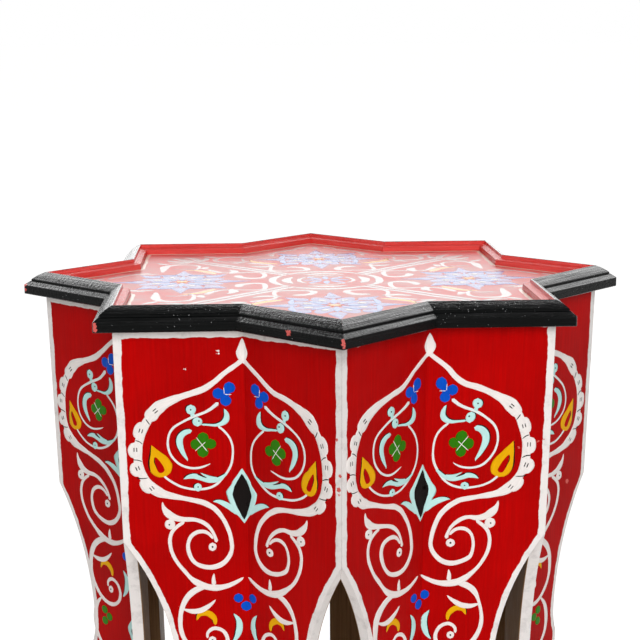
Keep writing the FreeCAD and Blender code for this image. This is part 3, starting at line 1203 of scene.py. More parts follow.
@dataclass
class SideOrnament:
    """Painted scrolls and flowers on the boards, one drawing for each hollow of the star.

    The drawing hangs from the ridge and is folded about the crease. Places are in millimetres across
    from the crease and down from the ridge.

    Attributes:
        plan: the star's sizes.
        brush: the brush.
        drifts: how the drawing strays at each hollow, counted from the point that faces -Y.
        specular: strength of the paints' gloss, and dark_specular that of the red and the black.
        roughness: their roughness.
        line_layer: layer of the black lines, and shadow_layer that of the leaves' shadows.
        tick_places: middle of each pair of ticks, and the angle at which they lie.
        tick_gap: half the gap between the two, with tick_reach and tick_half for their length and width.
        shadow_shift: how far a leaf's shadow is moved across and down.
    """

    plan: StarPlan
    brush: Brush
    specular: float = 0.1
    dark_specular: float = 0.04
    roughness: float = 0.45
    line_layer: int = 6
    shadow_layer: int = -1
    tick_places: tuple[Place, ...] = (
        (80, 96.2, 2.45), (93.5, 114.5, 1.9), (99, 131.8, 1.57), (97.5, 149.3, 1.2), (85.5, 168.3, 0.95)
    )
    tick_gap: float = 1.25
    tick_reach: float = 2.1
    tick_half: float = 0.45
    shadow_shift: tuple[float, float] = (0.8, -0.6)
    drifts: tuple[HandDrift, ...] = (
        HandDrift(11, (
            (0, 40, 2.5, -2, 2.5, -2), (0, 54, 2, -4.5, 2, -4.5), (17, 82, 0, -2, 0, 0.5),
            (45, 101, 0, -4, -1, -2), (80, 97, -5, -2.5, -2, 1), (98, 128, -2.5, -4.5, -4, 0.5),
            (98, 150, -3, -3.5, -4.5, 4), (86, 168, -7, -5.5, -3, 4.5), (39, 128, -1, -1.5, -7, 4.5),
            (9, 136, 0.5, -0.5, -1.5, -1), (70, 125, -3, -2.5, -3, 3), (49, 149, -2, 0, -6, 5.5),
            (76, 158, -2, -2.5, -9, 7), (0, 150, -3, -0.5, -3, -0.5), (0, 176, -5.4, 0, -5.4, 0),
            (44, 168, -1.5, -1, -8, 3), (30, 182, -2.5, -2, -6, 2), (0, 202, -4.5, 1, -4.5, 1),
            (76, 183, -7, -5.5, -9.5, 5),
        ), wander=0.4),
        HandDrift(12, (
            (0, 54, 0, 0, 0, 0), (80, 97, 0, 0, -2.5, 1.5), (45, 101, 0, 0, -1, 0),
            (94, 114, 0, 0, -1.5, 4), (99, 132, 0, 0, 0.5, 5), (98, 150, 0, 0, -2.5, 9.5),
            (86, 168, 0, 0, -3.5, 8), (55, 127, 0, 0, 0, 4), (70, 125, 0, 0, 1, 9),
            (76, 158, 0, 0, -5.5, 7.5), (49, 155, 0, 0, -5, 4), (76, 183, 0, 0, -6, 9),
        ), wander=0.4),
        HandDrift(13), HandDrift(14), HandDrift(15), HandDrift(16),
        HandDrift(17, (
            (17, 82, -5.5, -1, 0, 0), (45, 101, -5, 0.5, 0, 0), (80, 97, -3, -1.5, 0, 0),
            (98, 128, -2, -2, 0, 0), (98, 150, -1.5, -0.5, 0, 0), (86, 168, -6, -2.5, 0, 0),
            (39, 128, -4, 3, 0, 0), (9, 136, -7, 1.5, 0, 0), (70, 125, -5.5, 2.5, 0, 0),
            (49, 149, -4.5, 1.5, 0, 0), (44, 168, -8.5, -0.5, 0, 0), (30, 182, -7, 1, 0, 0),
            (76, 183, -2.5, 0, 0, 0), (71, 202, -7, 1, 0, 0),
        ), wander=0.4),
        HandDrift(18, (
            (0, 54, -1.5, 0, -1.5, 0), (17, 82, 0, 0, 0, 0), (45, 101, 0, 0, 1, -2), (80, 97, 0, 0, -2, -2),
            (98, 130, 0, 0, -2.5, -1), (98, 150, 0, 0, -1.5, 2.5), (86, 168, 0, 0, 0, 2.5),
            (39, 128, 0, 0, -3.5, 2), (9, 136, 0, 0, -4, 4), (70, 125, 0, 0, 2.5, 1), (49, 149, 0, 0, 2, 1),
            (76, 158, 0, 0, -0.5, 5), (0, 150, -5, 0, -5, 0), (0, 176, -4.2, 0, -4.2, 0),
            (44, 168, 0, 0, -6, 1), (30, 182, 0, 0, -2.5, 0.5), (0, 202, -3, 0, -3, 0),
            (76, 183, 0, 0, -5.5, 3),
        ), wander=0.2),
    )

    def band_and_lobes(self) -> list[Stroke]:
        """Draws the white ogee band, the lobes at its ends and the volutes that it turns into.

        Returns:
            Its strokes.
        """
        return [
            stroke(
                (0, 31, 0.6), (0, 37, 3.2), (0, 43.5, 5.8), (0, 49, 4.2), (0, 53, 1.5),
                symmetry=Symmetry.MIDDLE, layer=1,
            ),
            stroke(
                (-1.6, 49.3, 2.3), (6, 55.2, 2.2), (18.5, 63.8, 2.2), (26, 69.8, 2.4), (36, 76.4, 2.8),
                (47, 80.3, 2.9), (58, 84, 3.1), (68.5, 88.2, 4.3), (77, 93.2, 5.9), (83.4, 99.8, 6.2),
                (87.2, 105.6, 4.8),
            ),
            stroke(
                (84.5, 101, 3.5), (89, 108, 4), (93, 117, 4), (96, 127, 4), (97, 138, 4), (96.2, 148, 4),
                (92.8, 157, 4), (88.5, 163.5, 4), (81, 170, 4), (74, 173.5, 3.2), layer=1,
            ),
            stroke((90.2, 106.4, 4.6), (94.2, 114.4, 6.2), (97, 122.6, 4.8), layer=2),
            stroke((98.6, 124.8, 4.8), (99.8, 132.6, 6.3), (99.4, 140.4, 4.8), layer=3),
            stroke((99.4, 142.8, 4.8), (98.6, 150, 6.1), (96, 157.2, 4.8), layer=2),
            stroke((94, 158.8, 4.6), (89.8, 165.6, 6), (83.8, 171.8, 5), layer=3),
            stroke(
                (88, 166.5, 4.4), (80, 171.8, 4.8), (71, 175, 3.4), (57, 178.3, 2.3), (41.5, 182, 2.6),
                (35, 185, 2.6), (28.3, 189.5, 2.5), (19.6, 199, 2.3), (14.7, 209, 2.1), (12.5, 218, 2),
                (12, 227, 2), (15, 235, 2.2), (21, 241.5, 2.5), (29, 244.5, 2.5), (37, 244, 2.2),
                (45, 241, 2), (51, 236, 2), (54, 229, 2), (54.5, 222, 1.9), (52, 215, 1.9),
                (46.5, 211, 1.9), (40, 210.2, 1.8), (34, 212.5, 1.6), (29, 217.5, 1.2),
            ),
            stroke(
                (76.3, 181, 0.4), (75.6, 186, 1.7), (72.6, 191.5, 3.4), (67, 195.8, 3.3), (59.5, 198, 2.5),
                (49, 198.7, 2), (42, 200.8, 2), (36, 204.5, 1.9), (31, 209.5, 1.6), (27.5, 215.5, 1.5),
                (26, 221, 2.2),
            ),
            dot(30, 225, 4.2, 2), dot(70.4, 202.6, 5.1, 2),
            stroke(
                (57, 200.5, 1.4), (63, 204, 1.8), (68.5, 209.5, 1.8), (71, 217, 1.8), (70.5, 225, 1.8),
                (68, 233, 1.8), (63, 242, 1.8), (57, 249, 2.0), (51, 254.5, 2.2), (45, 259, 3.0),
                (37, 263, 3.4), (27, 264.5, 3.0), (17, 263, 2.4), (8, 259, 1.8), (2, 255, 0.8), layer=1,
            ),
            stroke((29, 250.5, 0.4), (29.5, 256, 1.8), (29, 262, 2.4), layer=2),
        ]

    def vines(self) -> list[Stroke]:
        """Draws the thin pale stem that coils round the clover and the ring outside it.

        Returns:
            Its strokes.
        """
        return [
            stroke(
                (23.5, 89.5, 1.9), (30, 94.8, 1.5), (36.5, 98.4, 1.3), (43, 100.9, 1.3), (50, 103.8, 1.2),
                (57.5, 107.5, 1.1), (63.7, 111.4, 1.1), (67.6, 116.4, 1.1), (69.5, 122.5, 1.1),
                (69.7, 129.2, 1.1), (68, 136, 1.1), (64.2, 142, 1.1), (58.6, 146.9, 1.1), (51, 149.7, 1.1),
                (44, 149.9, 1.1), (37.5, 148.3, 0.9), (31.4, 145.8, 0.35),
            ),
            stroke(
                (25, 110.8, 1.1), (18.7, 115.8, 1.1), (13.2, 122.4, 1.1), (10.2, 130.2, 1.1),
                (9.5, 138, 1.1), (10.2, 145.8, 1.2), (12.7, 152.4, 1.2), (16.8, 157.8, 1.3),
                (23.1, 163.5, 1.3), (29.8, 167.4, 1.2), (36.4, 169.4, 1.2), (44.2, 170, 1.2),
                (51, 169.3, 1.1), (58.7, 167.4, 1.1), (65.3, 164.1, 1.1), (70.5, 160.6, 1.1),
                (75, 156.5, 1),
            ),
        ]

    def beads(self) -> list[Stroke]:
        """Draws the aqua beads on the stem and the ring, one of them on a short stalk.

        Returns:
            Its strokes.
        """
        return [
            dot(48.4, 95.6, 4.8, 3), stroke((47.8, 99, 2.3), (46.3, 102.2, 1.8), layer=2),
            dot(43, 107, 4.5, 3), dot(44.2, 168, 4, 3),
        ]

    def leg_scrolls(self) -> list[Stroke]:
        """Draws the scrolls that run down the leg below the arch's shoulders.

        Returns:
            Its strokes.
        """
        return [
            stroke(
                (37, 263, 2.6), (47, 267, 3.0), (55, 274, 3.2), (60, 284, 3.0), (61.5, 296, 2.6),
                (60, 308, 2.3), (55, 319, 2.2), (47, 327, 2.2), (37, 331, 2.2), (27, 330, 2.0),
                (20, 324, 1.9), (18, 315, 1.9), (22, 307, 1.8), (30, 304, 1.8), (36, 308, 1.5),
                (36.5, 314, 1.1),
            ),
            dot(32, 315.5, 3.8, 1),
            stroke((60, 284, 0.5), (50, 287, 2.2), (41, 286, 2.8), (33, 281, 1.8), (28, 276, 0.5), layer=2),
            stroke(
                (47, 327, 0.6), (55, 336, 2.4), (59, 347, 3.0), (59.5, 359, 2.6), (56, 371, 2.2),
                (48, 381, 2.0), (37, 387, 2.0), (25, 388, 2.0), (14, 384, 2.0), (6, 377, 1.7),
                (1.5, 369, 0.8), layer=1,
            ),
            stroke(
                (48, 381, 0.8), (56, 389, 2.2), (60, 400, 2.6), (60, 413, 2.4), (55, 425, 2.2),
                (46, 433, 2.1), (35, 436, 2.0), (25, 433, 1.9), (19, 425, 1.8), (20, 416, 1.7),
                (27, 411, 1.6), (33, 414, 1.3), layer=2,
            ),
            dot(29, 420.5, 3.6, 3),
            stroke(
                (0, 452, 1.8), (15, 457, 2.0), (30, 466, 2.4), (45, 474, 3.2), (58, 478, 2.4),
                (64, 478, 1.0), symmetry=Symmetry.JOINED,
            ),
            stroke(
                (0, 500, 2.0), (14, 496, 2.1), (28, 488, 2.2), (40, 484, 2.2), (52, 485, 2.0),
                (62, 488, 1.4), symmetry=Symmetry.JOINED,
            ),
        ]

    def leaves(self) -> list[Stroke]:
        """Draws the aqua leaves and the leafy surround of the drop on the crease.

        Returns:
            Its strokes.
        """
        return [
            stroke(
                (18.8, 95.3, 0.5), (16.7, 100.5, 2.3), (17.2, 105.4, 2.9), (21, 108.7, 2.3),
                (27, 110.2, 1.4), (33, 109.9, 1), (40, 109.5, 0.9), layer=1,
            ),
            stroke(
                (48, 115.2, 1.8), (54, 116.5, 2.6), (58.3, 120.4, 3.1), (59.4, 125.8, 3),
                (58.2, 131.3, 2.5), (55.8, 136.9, 1.8), (53.2, 141.3, 0.9), (52.8, 143.4, 0.3), layer=1,
            ),
            stroke(
                (57, 160, 0.4), (52.5, 158, 1.9), (47, 157.4, 2.6), (41.5, 159.2, 2.5), (35, 161.5, 2.4),
                (28, 161.9, 2.2), (21, 160, 1.8), (13.2, 155.2, 1), layer=1,
            ),
            stroke((41.5, 154.4, 0.3), (37, 157, 1.1), (31, 159.4, 1.6), (24, 160.2, 1.2), layer=2),
            stroke(
                (4, 193.5, 3.2), (10, 189.2, 3.2), (16, 185.6, 3), (21.5, 183, 2.6), (26.5, 181.7, 1.6),
                (30.6, 181.9, 0.3), layer=1,
            ),
            stroke(
                (12, 290, 0.4), (7.5, 297, 2.6), (7, 305, 3.2), (9.5, 313, 2.2), (14, 319, 0.6), layer=1,
            ),
            stroke(
                (0, 336, 0.4), (0, 343, 5.0), (0, 351, 9.5), (0, 359, 6.5), (0, 367, 2.0), (0, 371, 0.4),
                symmetry=Symmetry.MIDDLE, layer=1,
            ),
            stroke((50, 398, 0.5), (44, 401, 2.4), (38, 407, 2.8), (40, 415, 2.0), (46, 421, 0.5), layer=1),
        ]

    def lozenge(self) -> list[Stroke]:
        """Draws the aqua lozenge on the crease.

        Returns:
            Its strokes.
        """
        return [
            stroke(
                (0, 150.5, 0.4), (0, 154, 2.6), (0, 158, 5.2), (0, 162, 8.2), (0, 166, 11.2),
                (0, 170, 14.2), (0, 173, 16.2), (0, 176, 17), (0, 180, 15.6), (0, 185, 12.8), (0, 190, 9.8),
                (0, 195, 6.2), (0, 199, 3.2), (0, 203, 0.4), symmetry=Symmetry.MIDDLE, layer=2,
            ),
        ]

    def shadows(self) -> list[Stroke]:
        """Draws the black lines: drop shadows of the leaves, ticks and notches on the white, and dots.

        Returns:
            Its strokes.
        """
        top = self.line_layer
        lines = [
            stroke((88.6, 103.6, 0.45), (87, 106.2, 0.45), (85.2, 108.8, 0.35), layer=top),
            stroke((98.8, 123.2, 0.45), (95.5, 124.3, 0.45), (92.4, 126.8, 0.35), layer=top),
            stroke((101.6, 141.2, 0.45), (97.5, 141.4, 0.45), (93.2, 142.8, 0.35), layer=top),
            stroke((98.8, 158.2, 0.45), (94, 158.8, 0.45), (88.6, 158.3, 0.35), layer=top),
            stroke((44.6, 155.2, 0.7), (40.5, 157.2, 0.6), (35.9, 159.2, 0.3), layer=top),
            stroke((82, 139, 0.3), (82.4, 144, 0.4), (79.8, 150, 0.3), layer=top),
            stroke(
                (0, 155.5, 0.3), (0, 165, 6.2), (0, 172.7, 10.2), (0, 177.7, 10.4), (0, 184.5, 7.8),
                (0, 194, 3.4), (0, 199.5, 0.3), symmetry=Symmetry.MIDDLE, layer=top,
            ),
            dot(48.6, 95.6, 0.8, top), dot(41.6, 106.2, 0.8, top), dot(44, 167.6, 0.7, top),
            dot(30, 225, 1, top), dot(71, 202.8, 0.8, top), dot(32, 315.5, 0.9, top),
            dot(29, 420.5, 0.9, top),
            stroke(
                (0, 345, 0.3), (0, 352, 4.4), (0, 358, 2.6), (0, 363, 0.3), symmetry=Symmetry.MIDDLE,
                layer=3,
            ),
        ]
        for across, down, lean in self.tick_places:
            for side in (-self.tick_gap, self.tick_gap):
                middle_across = across + side * math.sin(lean)
                middle_down = down + side * math.cos(lean)
                ends = [
                    (middle_across + reach * math.cos(lean), middle_down - reach * math.sin(lean))
                    for reach in (-self.tick_reach, self.tick_reach)
                ]
                lines.append(stroke(*((*end, self.tick_half) for end in ends), layer=top))
        aside, downward = self.shadow_shift
        for shape in self.leaves() + self.beads() + self.yellow_drops():
            if shape.symmetry is Symmetry.PAIR:
                shifted = ((across + aside, down + downward, half) for across, down, half in shape.points)
                lines.append(stroke(*shifted, layer=self.shadow_layer))
        return lines

    def yellow_drops(self) -> list[Stroke]:
        """Draws the yellow drop inside the lobes and the yellow hook on the leg.

        Returns:
            Its strokes.
        """
        return [
            stroke(
                (84.5, 128, 0.3), (83, 131.8, 2.4), (81.5, 135.5, 4.8), (80.1, 139.3, 7.2),
                (78.7, 143, 9.2), (77, 147.7, 10.4), (73.3, 158, 10), layer=1,
            ),
            stroke((46, 296, 0.5), (43, 290, 2.4), (36, 289, 3.0), (30, 294, 2.6), (29, 301, 1.2), layer=1),
        ]

    def flowers(self) -> dict[Paint, list[Stroke]]:
        """Draws the blue and green flowers with their veins, and the yellow drop with its red heart.

        Returns:
            Strokes by paint.
        """
        blue = [
            dot(13.4, 76, 5.5), dot(23.9, 81.2, 5.3, 2), dot(17.2, 88, 5.1), dot(18, 81.6, 4.4, 3),
            dot(0, 283, 5, 1, Symmetry.MIDDLE), dot(7, 275, 4.6, 2), dot(52, 447, 4.2), dot(60, 452, 4, 2),
        ]
        green = [
            dot(38.4, 122, 5.3), dot(44.8, 127.9, 5.2, 2), dot(38.8, 135, 5.2), dot(31.6, 127.6, 5, 2),
            dot(38, 128.5, 4.8, 3), dot(44, 340, 4.6), dot(37, 346, 4.6, 2), dot(44, 352, 4.6),
        ]
        veins = [
            stroke(*ends, layer=5)
            for ends in (
                ((18.3, 82, 0.4), (18.6, 75.6, 0.35)), ((18.3, 82, 0.4), (11.8, 82.3, 0.35)),
                ((44.6, 121.2, 0.4), (34.6, 134.8, 0.4)), ((35.2, 125, 0.4), (45.8, 134, 0.4)),
            )
        ]
        drop_hole = stroke(
            (81.8, 138.5, 0.3), (80.2, 142.5, 2.2), (78.5, 147, 3.5), (75.2, 154.4, 3.3), layer=3
        )
        return {
            Paint.BLUE: blue, Paint.GREEN: green, Paint.YELLOW: self.yellow_drops(), Paint.RED: [drop_hole],
            Paint.WHITE: veins,
        }

    def build(self) -> None:
        """Paints the drawing at every hollow, one piece for each paint."""
        drawing = {
            Paint.BLACK: self.shadows(), Paint.AQUA: self.leaves() + self.lozenge() + self.beads(),
            Paint.PALE: self.vines(), **self.flowers(),
        }
        drawing[Paint.WHITE] = self.band_and_lobes() + self.leg_scrolls() + drawing[Paint.WHITE]
        for paint, strokes in drawing.items():
            specular = self.dark_specular if paint in (Paint.RED, Paint.BLACK) else self.specular
            material = StrokeFinish(paint, specular, self.roughness).make()
            meshes = []
            for index, drift in enumerate(self.drifts):
                mesh = self.brush.lay(strokes, material, drift.seed)
                write_points(mesh, drift.moved(read_points(mesh)))
                split_at_crease(mesh)
                write_points(mesh, HollowFold(self.plan, index).onto_boards(read_points(mesh)))
                meshes.append(mesh)
            joined_piece(f"side_ornament_{paint.name.lower()}", meshes, material)


@dataclass
class PanelOrnament:
    """Painted star medallions, scrolls and bands on the top panel, in four equal quarters.

    Places are in millimetres: across from the quarter's middle line, and out from the pattern's middle,
    which the painter set a little off the panel's own.

    Attributes:
        plan: the star's sizes.
        brush: the brush.
        foot_line: how far in from the ridge the cream line lies.
        pattern_middle: place of the pattern's middle in the stool's frame.
        medallion_out: distance from there to a medallion's middle.
        specular: strength of the paints' gloss.
        roughness: their roughness.
        tremble_seed: seed of the first quarter's tremble, and drift_seed of its drift.
        wander: size of that drift.
    """

    plan: StarPlan
    brush: Brush
    foot_line: float = 10.6
    pattern_middle: tuple[float, float] = (2.5, -7.0)
    medallion_out: float = 144.5
    specular: float = 0.4
    roughness: float = 0.2
    tremble_seed: int = 40
    drift_seed: int = 60
    wander: float = 0.8

    def axis_white(self) -> list[Stroke]:
        """Draws the white scrolls beside one medallion and its quarter of the rosette.

        Returns:
            Its strokes.
        """
        return [
            stroke(
                (38, 87, 1.4), (31, 88, 4.2), (23, 86, 4.4), (17.5, 79, 4), (16, 71, 3.8), (19, 64.5, 3.2),
                (28, 62, 2.9), (40, 61.5, 2.8), (49, 63.5, 2.6), (54, 69, 2.4), (54.5, 80, 2.2),
                (53, 92, 2.2), (54, 104, 2.3), (60, 110, 3), (70, 116, 3.4), (79, 120, 2),
            ),
            stroke((47, 94.5, 1), (54, 94, 4.2), (63, 92.5, 5), (70, 95, 3.2), (75, 99, 1), layer=1),
            stroke(
                (61, 167, 1), (74, 167, 3.4), (90, 166.5, 5), (102, 165, 5), (111, 158, 3.8),
                (113.5, 148, 3), (111, 137, 2.5), (103, 131, 2.4), (92, 130, 2.2), (82, 131, 2.2),
                (73, 137, 1.2),
            ),
            stroke((112, 163, 1.8), (119, 169, 3.4), (127, 177, 1.2), layer=1),
            stroke((80, 123, 2.4), (88, 124, 4.2), (96, 120, 1.8), layer=1),
            stroke((82, 134, 1), (84, 146, 1.6), (83, 158, 1), layer=1),
            stroke(
                (58, 178, 1), (52, 188, 3.6), (46, 199, 2.8), (38, 208, 3.4), (28, 216, 3.6),
                (20, 220, 1.4),
            ),
            stroke((47, 184, 1), (51, 177, 2.6), (50, 170, 1), layer=1),
            stroke((26, 224, 1.2), (17, 233, 3.6), (9, 242, 1.2), layer=1),
            stroke((0, 224, 1.2), (0, 232, 4.4), (0, 241, 1), symmetry=Symmetry.MIDDLE),
            stroke(
                (0, 54, 4.2), (13, 52.5, 4), (25, 47.5, 3.2), (34, 41, 1.6), symmetry=Symmetry.JOINED,
                layer=1,
            ),
            stroke((0, 40, 5.2), (10, 38.5, 4), (20, 33.5, 1.0), symmetry=Symmetry.JOINED, layer=1),
            stroke((0, 27.5, 2.2), (9, 26, 2), (18, 20, 1.6), symmetry=Symmetry.JOINED, layer=1),
        ]

    def foot_lines(self) -> list[Stroke]:
        """Draws the cream line on the panel round the foot of the rim's wall.

        Returns:
            Its strokes.
        """
        radius = (self.plan.ridge_apothem / MM - self.foot_line) / math.cos(QUARTER)
        corners = [
            (radius * share * math.sin(angle), radius * share * math.cos(angle))
            for share, angle in ((1.0, 0.0), (HOLLOW_SHARE, HALF_PITCH), (1.0, PITCH))
        ]
        lines = []
        for layer, ((a_across, a_out), (b_across, b_out)) in enumerate(zip(corners, corners[1:])):
            middle = ((a_across + b_across) / 2.0, (a_out + b_out) / 2.0)
            lines.append(stroke((a_across, a_out, 2.1), (*middle, 1.8), (b_across, b_out, 2.1), layer=layer))
        return lines

    def diagonal_white(self) -> list[Stroke]:
        """Draws one double band and the palmette at its end.

        Returns:
            Its strokes.
        """
        return [
            stroke((4.2, 50, 2.6), (4.4, 100, 2.8), (4.6, 150, 2.8), (4.2, 196, 2.4)),
            stroke(
                (0, 192, 2.2), (0, 204, 5.6), (0, 218, 4.4), (0, 229, 1), symmetry=Symmetry.MIDDLE, layer=1,
            ),
            stroke((4, 193, 2), (12, 202, 4.6), (15, 213, 3.8), (13, 221, 1), layer=2),
            stroke((4, 190, 1.8), (14, 192, 3.8), (23, 197, 3.2), (27, 204, 1), layer=3),
        ]

    def spoke(self, turn: float, *marks: tuple[float, float], layer: int = 0) -> Stroke:
        """Draws one petal that points away from a medallion's middle.

        Args:
            turn: way it points, in eighths of a turn from the outward way.
            marks: distance from the middle and half-width, at the points it passes.
            layer: its layer.

        Returns:
            The petal.
        """
        angle = turn * QUARTER
        points = tuple(
            (math.sin(angle) * reach, self.medallion_out + math.cos(angle) * reach, half)
            for reach, half in marks
        )
        return Stroke(points, Symmetry.MIDDLE, layer)

    def medallion(self) -> dict[Paint, list[Stroke]]:
        """Draws one medallion, a lace of pale blue petals with white dots and a yellow heart.

        Returns:
            Strokes by paint.
        """
        middle = self.medallion_out
        base, sky, white = [], [], []
        for turn in range(8):
            base.append(self.spoke(turn + 0.5, (12, 1.5), (19, 7), (28, 9.4), (38, 8), (46, 1.6)))
            end = 70 if turn % 2 == 0 else 63
            base.append(self.spoke(turn, (34, 3.5), (43, 9.6), (51, 6.2), (end, 0.5), layer=1))
            sky.append(self.spoke(turn, (7, 1.2), (15, 3.8), (25, 3), (34, 0.8), layer=2))
            sky.append(self.spoke(turn, (45, 0.8), (50, 3.2), (57, 0.8), layer=2))
            white.append(self.spoke(turn + 0.5, (22.5, 3.6), (31.5, 3.6), layer=3))
        sky += [
            stroke((38, middle - 31, 1.4), (40, middle - 18, 3.4), (39.5, middle - 4, 2), layer=3),
            stroke((39.5, middle + 4, 2), (40, middle + 18, 3.4), (38, middle + 31, 1.4), layer=3),
        ]
        yellow = [
            dot(0.0, middle, 6.2, 4, Symmetry.MIDDLE),
            stroke((45, 111, 1.2), (54, 116, 5), (64, 122, 6), (72, 131, 4.6), (75, 143, 1.2)),
        ]
        return {Paint.PERIWINKLE: base, Paint.SKY: sky, Paint.IVORY: white, Paint.OCHRE: yellow}

    def build(self) -> None:
        """Paints the four quarters, one piece for each paint."""
        axis = self.medallion()
        axis[Paint.IVORY] = self.axis_white() + axis[Paint.IVORY]
        axis[Paint.CREAM] = self.foot_lines()
        axis[Paint.SKY].append(stroke((0, 3, 1.0), (0, 12, 3.8), (0, 24, 0.8), symmetry=Symmetry.MIDDLE))
        diagonal = {
            Paint.IVORY: self.diagonal_white(),
            Paint.SKY: [stroke((0, 5, 1.0), (0, 14, 3.8), (0, 27, 0.8), symmetry=Symmetry.MIDDLE)],
            Paint.GREY: [stroke((0, 50, 0.7), (0, 120, 0.8), (0, 194, 0.7), symmetry=Symmetry.MIDDLE)],
        }
        for paint in (*axis, Paint.GREY):
            material = StrokeFinish(paint, self.specular, self.roughness).make()
            off_x, off_y = (0.0, 0.0) if paint is Paint.CREAM else (off * MM for off in self.pattern_middle)
            meshes = []
            for start, drawing in ((0.0, axis), (QUARTER, diagonal)):
                if paint not in drawing:
                    continue
                for quarter in range(4):
                    mesh = self.brush.lay(drawing[paint], material, self.tremble_seed + quarter)
                    drift = HandDrift(self.drift_seed + quarter, wander=self.wander)
                    flat = drift.moved(read_points(mesh)) * MM
                    turn = FIRST_POINT + start + quarter * math.pi / 2.0
                    out, side = -flat[:, 1], flat[:, 0]
                    place = np.column_stack([
                        out * math.cos(turn) - side * math.sin(turn) + off_x,
                        out * math.sin(turn) + side * math.cos(turn) + off_y,
                        self.plan.panel_top + flat[:, 2],
                    ])
                    write_points(mesh, place)
                    meshes.append(mesh)
            joined_piece(f"panel_ornament_{paint.name.lower()}", meshes, material)


@dataclass
class StoolBody:
    """The CAD pieces, which keep their shapes and get their finishes.

    Attributes:
        plan: the star's sizes.
    """

    plan: StarPlan

    def dress(self) -> None:
        """Gives every board, moulding, panel and block its material."""
        finishes = {
            "side_board": BoardFinish().make(self.plan),
            "rim_moulding": RimFinish().make(self.plan),
            "top_panel": PanelFinish().make(),
            "tip_block": BareWood().make(),
        }
        for name, node in sorted(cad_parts.items()):
            material = next(finish for start, finish in finishes.items() if name.startswith(start))
            for place in node.material_slots:
                place.link = "OBJECT"
                place.material = material
        log.info("dressed %d pieces of the packed model", len(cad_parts))


@dataclass(frozen=True)
class Lamp:
    """A square soft lamp: its name, its place and its side in metres, and its power in watts."""

    name: str
    place: Place
    size: float
    watts: float


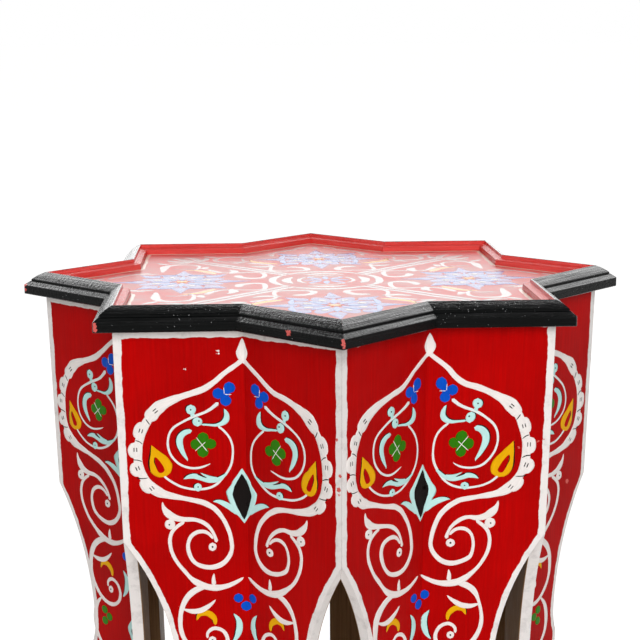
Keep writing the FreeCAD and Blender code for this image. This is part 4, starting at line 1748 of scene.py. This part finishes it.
@dataclass
class Studio:
    """A pale floor without an edge, soft lamps and a pale room.

    Attributes:
        floor_size: side of the floor in metres.
        floor_colour: the floor's own colour.
        floor_glow: how much white is added to the floor for the camera and in gloss.
        room_level: brightness of the room's light.
        gloss_peak: brightness of the soft boxes in gloss.
        gloss_shares: brightness of the room in gloss as shares of that peak, by the sine of the elevation.
        gloss_climb: how much higher the bright part stands towards +X.
        aim: place in metres that the lamps face.
        lamps: the lamps.
    """

    floor_size: float = 400.0
    floor_colour: str = "#E4E2E0"
    floor_glow: float = 0.85
    room_level: float = 0.2
    gloss_peak: float = 4.5
    gloss_shares: tuple[tuple[float, float], ...] = (
        (0.0, 0.46), (0.3, 0.45), (0.48, 0.65), (0.55, 1.0), (0.635, 1.0), (0.665, 0.18), (0.7, 0.05),
        (1.0, 0.05),
    )
    gloss_climb: float = 0.08
    aim: Place = (0.0, 0.0, 0.35)
    lamps: tuple[Lamp, ...] = (
        Lamp("key_lamp", (0.1, -4.0, 2.1), 2.2, 138.0), Lamp("top_lamp", (0.0, 0.3, 3.2), 2.2, 28.0)
    )

    def floor(self) -> None:
        """Lays the floor, which turns white for the camera and in gloss but keeps the shadow."""
        material, tree, output = new_material("pale_studio_floor")
        add = partial(add_node, tree)
        path = add("LightPath").outputs
        seen = add("Math", "MAXIMUM", path["Is Camera Ray"], path["Is Glossy Ray"])
        seen = add("Math", "MAXIMUM", seen, path["Is Transmission Ray"])
        lift = add("Math", "MULTIPLY", seen, self.floor_glow)
        matt = add("BsdfDiffuse", None, linear(self.floor_colour))
        glow = add("Emission", None, WHITE_LIGHT, lift)
        both = add("AddShader", None, matt, glow)
        tree.links.new(both.outputs[0], output.inputs[0])
        mesh = bpy.data.meshes.new("studio_floor")
        half = self.floor_size / 2.0
        corners = [(-half, -half, 0.0), (half, -half, 0.0), (half, half, 0.0), (-half, half, 0.0)]
        mesh.from_pydata(corners, [], [(0, 1, 2, 3)])
        mesh.materials.append(material)
        floor = bpy.data.objects.new("studio_floor", mesh)
        bpy.context.scene.collection.objects.link(floor)

    def room(self) -> None:
        """Sets the world: white for the camera, and low and bright, high and dim, in gloss."""
        world = bpy.data.worlds.new("pale_studio")
        world.use_nodes = True
        tree = world.node_tree
        tree.nodes.clear()
        add = partial(add_node, tree)
        path = add("LightPath").outputs
        axes = add("SeparateXYZ", None, add("TexCoord").outputs["Object"]).outputs
        height = add("Math", "MULTIPLY_ADD", axes["X"], -self.gloss_climb, axes["Z"])
        stops = [(place, (share, share, share, 1.0)) for place, share in self.gloss_shares]
        levels = fill_ramp(add("ValToRGB", None, height), *stops)
        gloss = add("Math", "MULTIPLY", levels, self.gloss_peak)
        level = add("Mix", "FLOAT", Factor=path["Is Glossy Ray"], A=self.room_level, B=gloss)
        level = add("Mix", "FLOAT", Factor=path["Is Camera Ray"], A=level, B=1.0)
        add("OutputWorld", None, add("Background", None, WHITE_LIGHT, level))
        bpy.context.scene.world = world

    def hang(self, lamp: Lamp) -> None:
        """Hangs one lamp that faces the stool.

        Args:
            lamp: the lamp.
        """
        data = bpy.data.lights.new(lamp.name, "AREA")
        data.shape, data.size, data.energy = "SQUARE", lamp.size, lamp.watts
        light = bpy.data.objects.new(lamp.name, data)
        light.location = lamp.place
        light.rotation_euler = (Vector(self.aim) - Vector(lamp.place)).to_track_quat("-Z", "Y").to_euler()
        light.visible_glossy = False
        bpy.context.scene.collection.objects.link(light)

    def build(self) -> None:
        """Sets up the floor, the room and the lamps."""
        self.floor()
        self.room()
        for lamp in self.lamps:
            self.hang(lamp)
        bpy.context.scene.view_settings.view_transform = "Standard"
        log.info("studio ready")


@dataclass
class PhotoCamera:
    """The camera that took the photograph, as solved from the star's corners.

    Attributes:
        place: its place in metres.
        heading: compass way it looks, in degrees from +X towards +Y.
        drop: how far it looks down, in degrees.
        roll: turn about its own axis, in degrees.
        lens: focal length in millimetres, on a sensor of the width sensor.
        clip: nearest and farthest distance that it sees, in metres.
    """

    place: Place = (-0.0833, -1.5127, 0.7884)
    heading: float = 86.98
    drop: float = 10.703
    roll: float = -0.238
    lens: float = 85.3
    sensor: float = 36.0
    clip: tuple[float, float] = (0.05, 100.0)

    def build(self) -> None:
        """Makes the camera and gives it to the scene."""
        data = bpy.data.cameras.new("photo_camera")
        data.sensor_width, data.lens = self.sensor, self.lens
        data.clip_start, data.clip_end = self.clip
        heading, drop, roll = (math.radians(angle) for angle in (self.heading, self.drop, self.roll))
        level = Vector((math.cos(heading), math.sin(heading), 0.0))
        forward = math.cos(drop) * level - math.sin(drop) * Vector((0.0, 0.0, 1.0))
        right = Vector((math.sin(heading), -math.cos(heading), 0.0))
        upward = right.cross(forward)
        rolled_right = math.cos(roll) * right + math.sin(roll) * upward
        rolled_up = math.cos(roll) * upward - math.sin(roll) * right
        camera = bpy.data.objects.new("photo_camera", data)
        axes = Matrix((rolled_right, rolled_up, -forward)).transposed().to_4x4()
        camera.matrix_world = Matrix.Translation(self.place) @ axes
        bpy.context.scene.collection.objects.link(camera)
        bpy.context.scene.camera = camera
        log.info("camera ready")


def main() -> None:
    """Builds the finishes, the ornament, the studio and the camera."""
    logging.basicConfig(level=logging.INFO, format="%(message)s")
    plan = StarPlan.from_frame()
    StoolBody(plan).dress()
    SideOrnament(plan, Brush()).build()
    PanelOrnament(plan, Brush(rise=0.08, layer_rise=0.05)).build()
    Studio().build()
    PhotoCamera().build()


if __name__ == "__main__":
    main()
